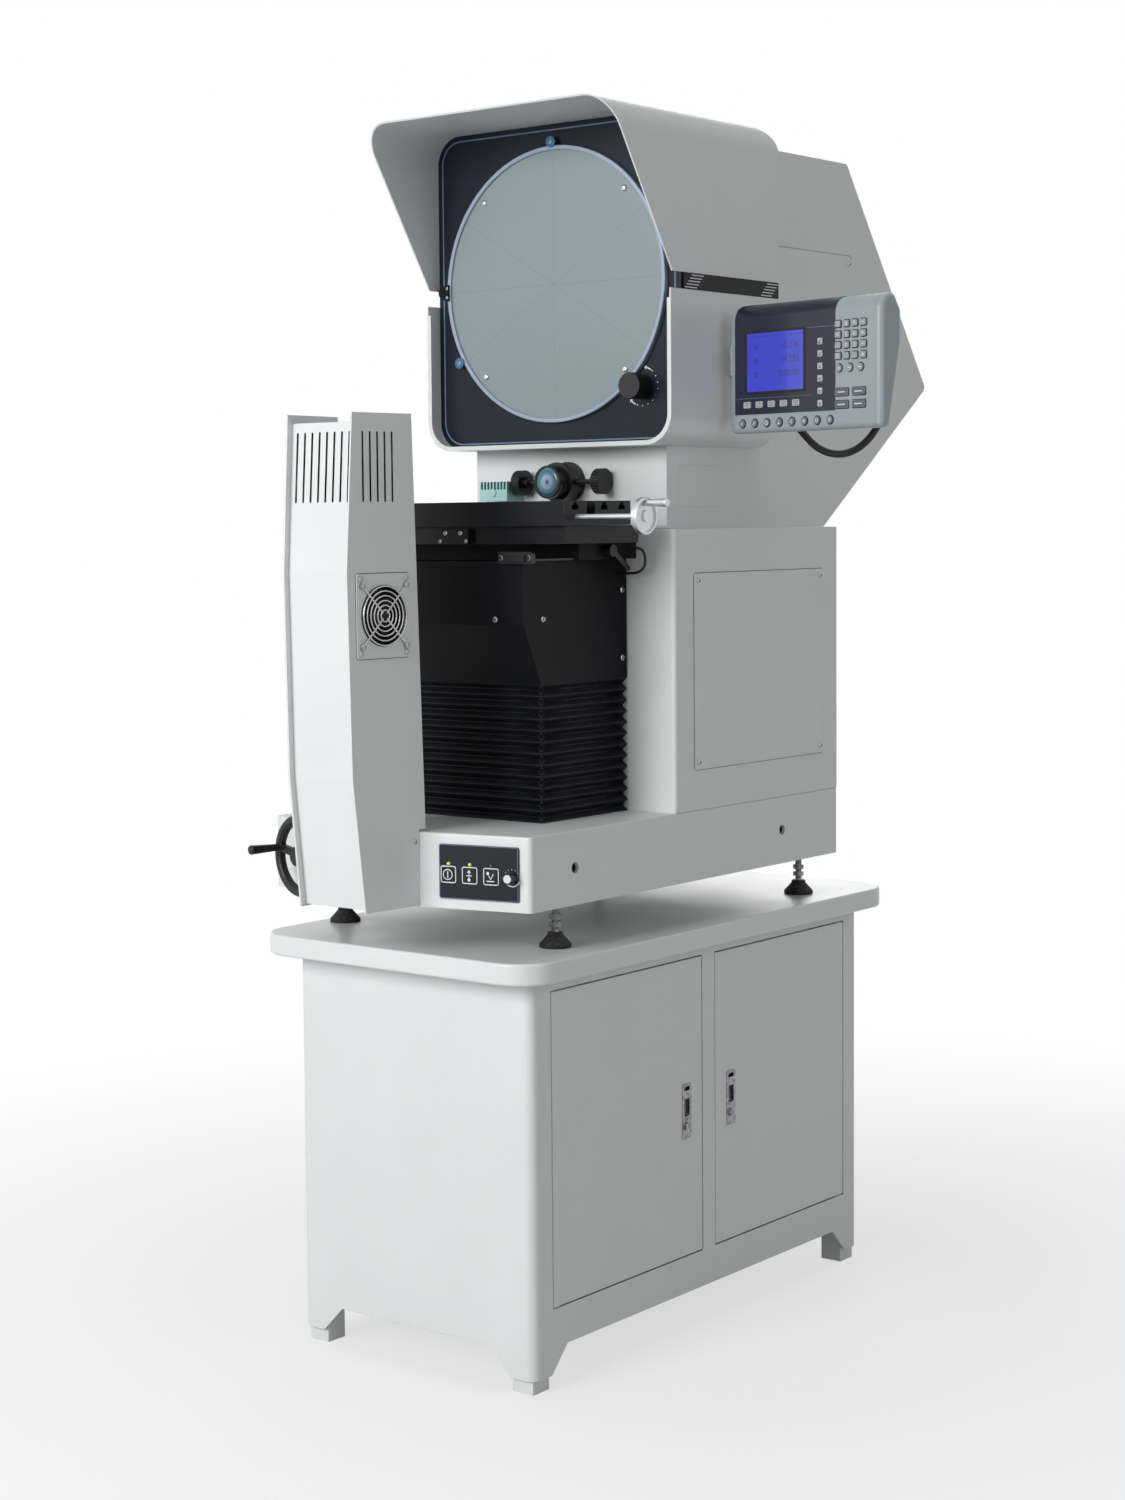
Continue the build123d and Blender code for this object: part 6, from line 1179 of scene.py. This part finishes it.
def makeFilm(shape):
    film = shape["film"]
    back, low, left, right = (shape["film" + side] for side in ("Back", "Low", "Left", "Right"))
    radius, height = shape["roll"]
    outer, inner = ([(back, top)] + [onCircle(radius, height, reach, 90 + 9 * k) for k in range(11)]
                    for top, reach in ((188 + film, radius + film), (187.8, radius - 0.2)))
    line = outer + [(-film, low), (0.2, low)] + inner[::-1]
    bm, holes = bmesh.new(), bmesh.new()
    loft(bm, [(left, line), (right, line)])
    cutKeys(holes, ("menu", "side"), 0.6, -2, 3)
    slab(holes, roundedBox(*shape["window"], *shape["glow"], 1, 2), -2, 3)
    piece = settleRounded("readoutFilm", carve(bm, holes), "fasciaFilm")
    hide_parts("display_window")
    bm = bmesh.new()
    width, height = shape["glow"]
    rim(bm, *shape["window"], (width + 7, height + 7, 3), (width, height, 1), film - 0.1, film + 0.7, 4)
    settle("windowFrame", bm, caseFace, "blackPlastic", "readout")
    bm = bmesh.new()
    bar(bm, (157, 146.5), (right - 1, 146.5), 0.7, film, film + 0.08)
    bar(bm, (left + 1, 50.5), (168, 50.5), 0.5, film, film + 0.08)
    settle("filmLines", bm, caseFace, "blueInk", "readout")


def addWindow(shape):
    x, y = shape["window"]
    width, height = shape["glow"]
    # windowBack is painted shade: a near black sheet inside the case behind the lit window
    for name, larger, low, high, look in (("litWindow", 4, -1.4, 0.1, "windowGlow"),
                                          ("windowBack", 5, -2.4, -1.45, "hollow")):
        bm = bmesh.new()
        slab(bm, roundedBox(x, y, width + larger, height + larger, 1, 2), low, high)
        settle(name, bm, caseFace, look, "readout")
    low, high = 0.12, 0.24
    bm = bmesh.new()
    drawNumbers(bm, [("-0.236", x + 30, y + 22), ("-4.355", x + 30, y + 2), ("0:00:00", x + 28, y - 18)],
                14, low)
    for n in range(3):
        drawSign(bm, (("bar", -42, 26, -36, 18, 1.3), ("bar", -42, 18, -36, 26, 1.3, overlap)), x, y - 20 * n,
                 low, high)
    drawSign(bm, (("bar", -50, 37, 50, 37, 0.7),), x, y, low, high)
    settle("windowNumerals", bm, caseFace, "digitGlow", "readout")


def addKeySigns(shape):
    # painted shade: dark bands round the keys where the gaps between key and case lie in shade
    bm = bmesh.new()
    play = shape["keyPlay"]
    for spot in (spot for name in ("number", "round", "wide", "shape") for spot in keySpots[name]):
        edge = 1.1 if len(spot) == 3 else 1
        band(bm, keyOutline(spot, play + edge, 2.6, 32, 5), keyOutline(spot, play, 1.8, 32, 5), 0.01, 0.14)
    settle("keyGapShade", bm, caseFace, "darkInkAndGapShade", "readout")

    low = shape["keyTop"] + 0.01
    high, over = low + 0.12, low + 0.24
    bm = bmesh.new()
    columns = [spot[0] for spot in keySpots["number"][::4]]
    rows = [spot[1] for spot in keySpots["number"][:4]]
    drawNumbers(bm, [(text, columns[n], rows[m]) for m, line in enumerate(("789", "456", "123", "0.-"))
                     for n, text in enumerate(line)], 7.5, low)
    for m, y in enumerate(rows):
        drawSign(bm, (minusSign, plusBar) if m % 2 else (minusSign,), columns[3], y, low, high)
    for x, y, radius in keySpots["round"]:
        drawSign(bm, (("bar", -2.5, 0, 2.5, 0, 1.4),), x, y, low, high)
    for x, y, wide, tall in keySpots["wide"]:
        drawSign(bm, (("bar", -7, 0, 7, 0, 1.6),), x, y, high, over)
    settle("numberSigns", bm, caseFace, "markInk", "number_keys")
    bm = bmesh.new()
    for x, y, wide, tall in keySpots["wide"]:
        slab(bm, roundedBox(x, y, wide - 0.8, tall - 0.8, 1.3, 4), low, high)
    settle("wideCaps", bm, caseFace, "slateKeyPlastic", "number_keys")
    bm = bmesh.new()
    for x, y, wide, tall in keySpots["menu"]:
        drawSign(bm, menuSign, x, y, low, high)
    for n, (x, y, wide, tall) in enumerate(keySpots["side"]):
        drawSign(bm, (("bar", -2.4, -1.8 + 0.4 * n, 2.4, 1.8 - 0.4 * n, 1.1),
                      ("bar", -2.4, -2.6, 2.4, -2.6, 0.8, overlap)), x, y, low, high)
    settle("menuSigns", bm, caseFace, "darkInkAndGapShade", "menu_keys")
    bm = bmesh.new()
    for sign, (x, y, radius) in zip(shapeSigns, keySpots["shape"]):
        drawSign(bm, sign, x, y, low, high)
    settle("shapeSigns", bm, caseFace, "markInk", "shape_keys")


makeCase(readoutShape)
makeFilm(readoutShape)
addWindow(readoutShape)
addKeySigns(readoutShape)
print("readout ready")
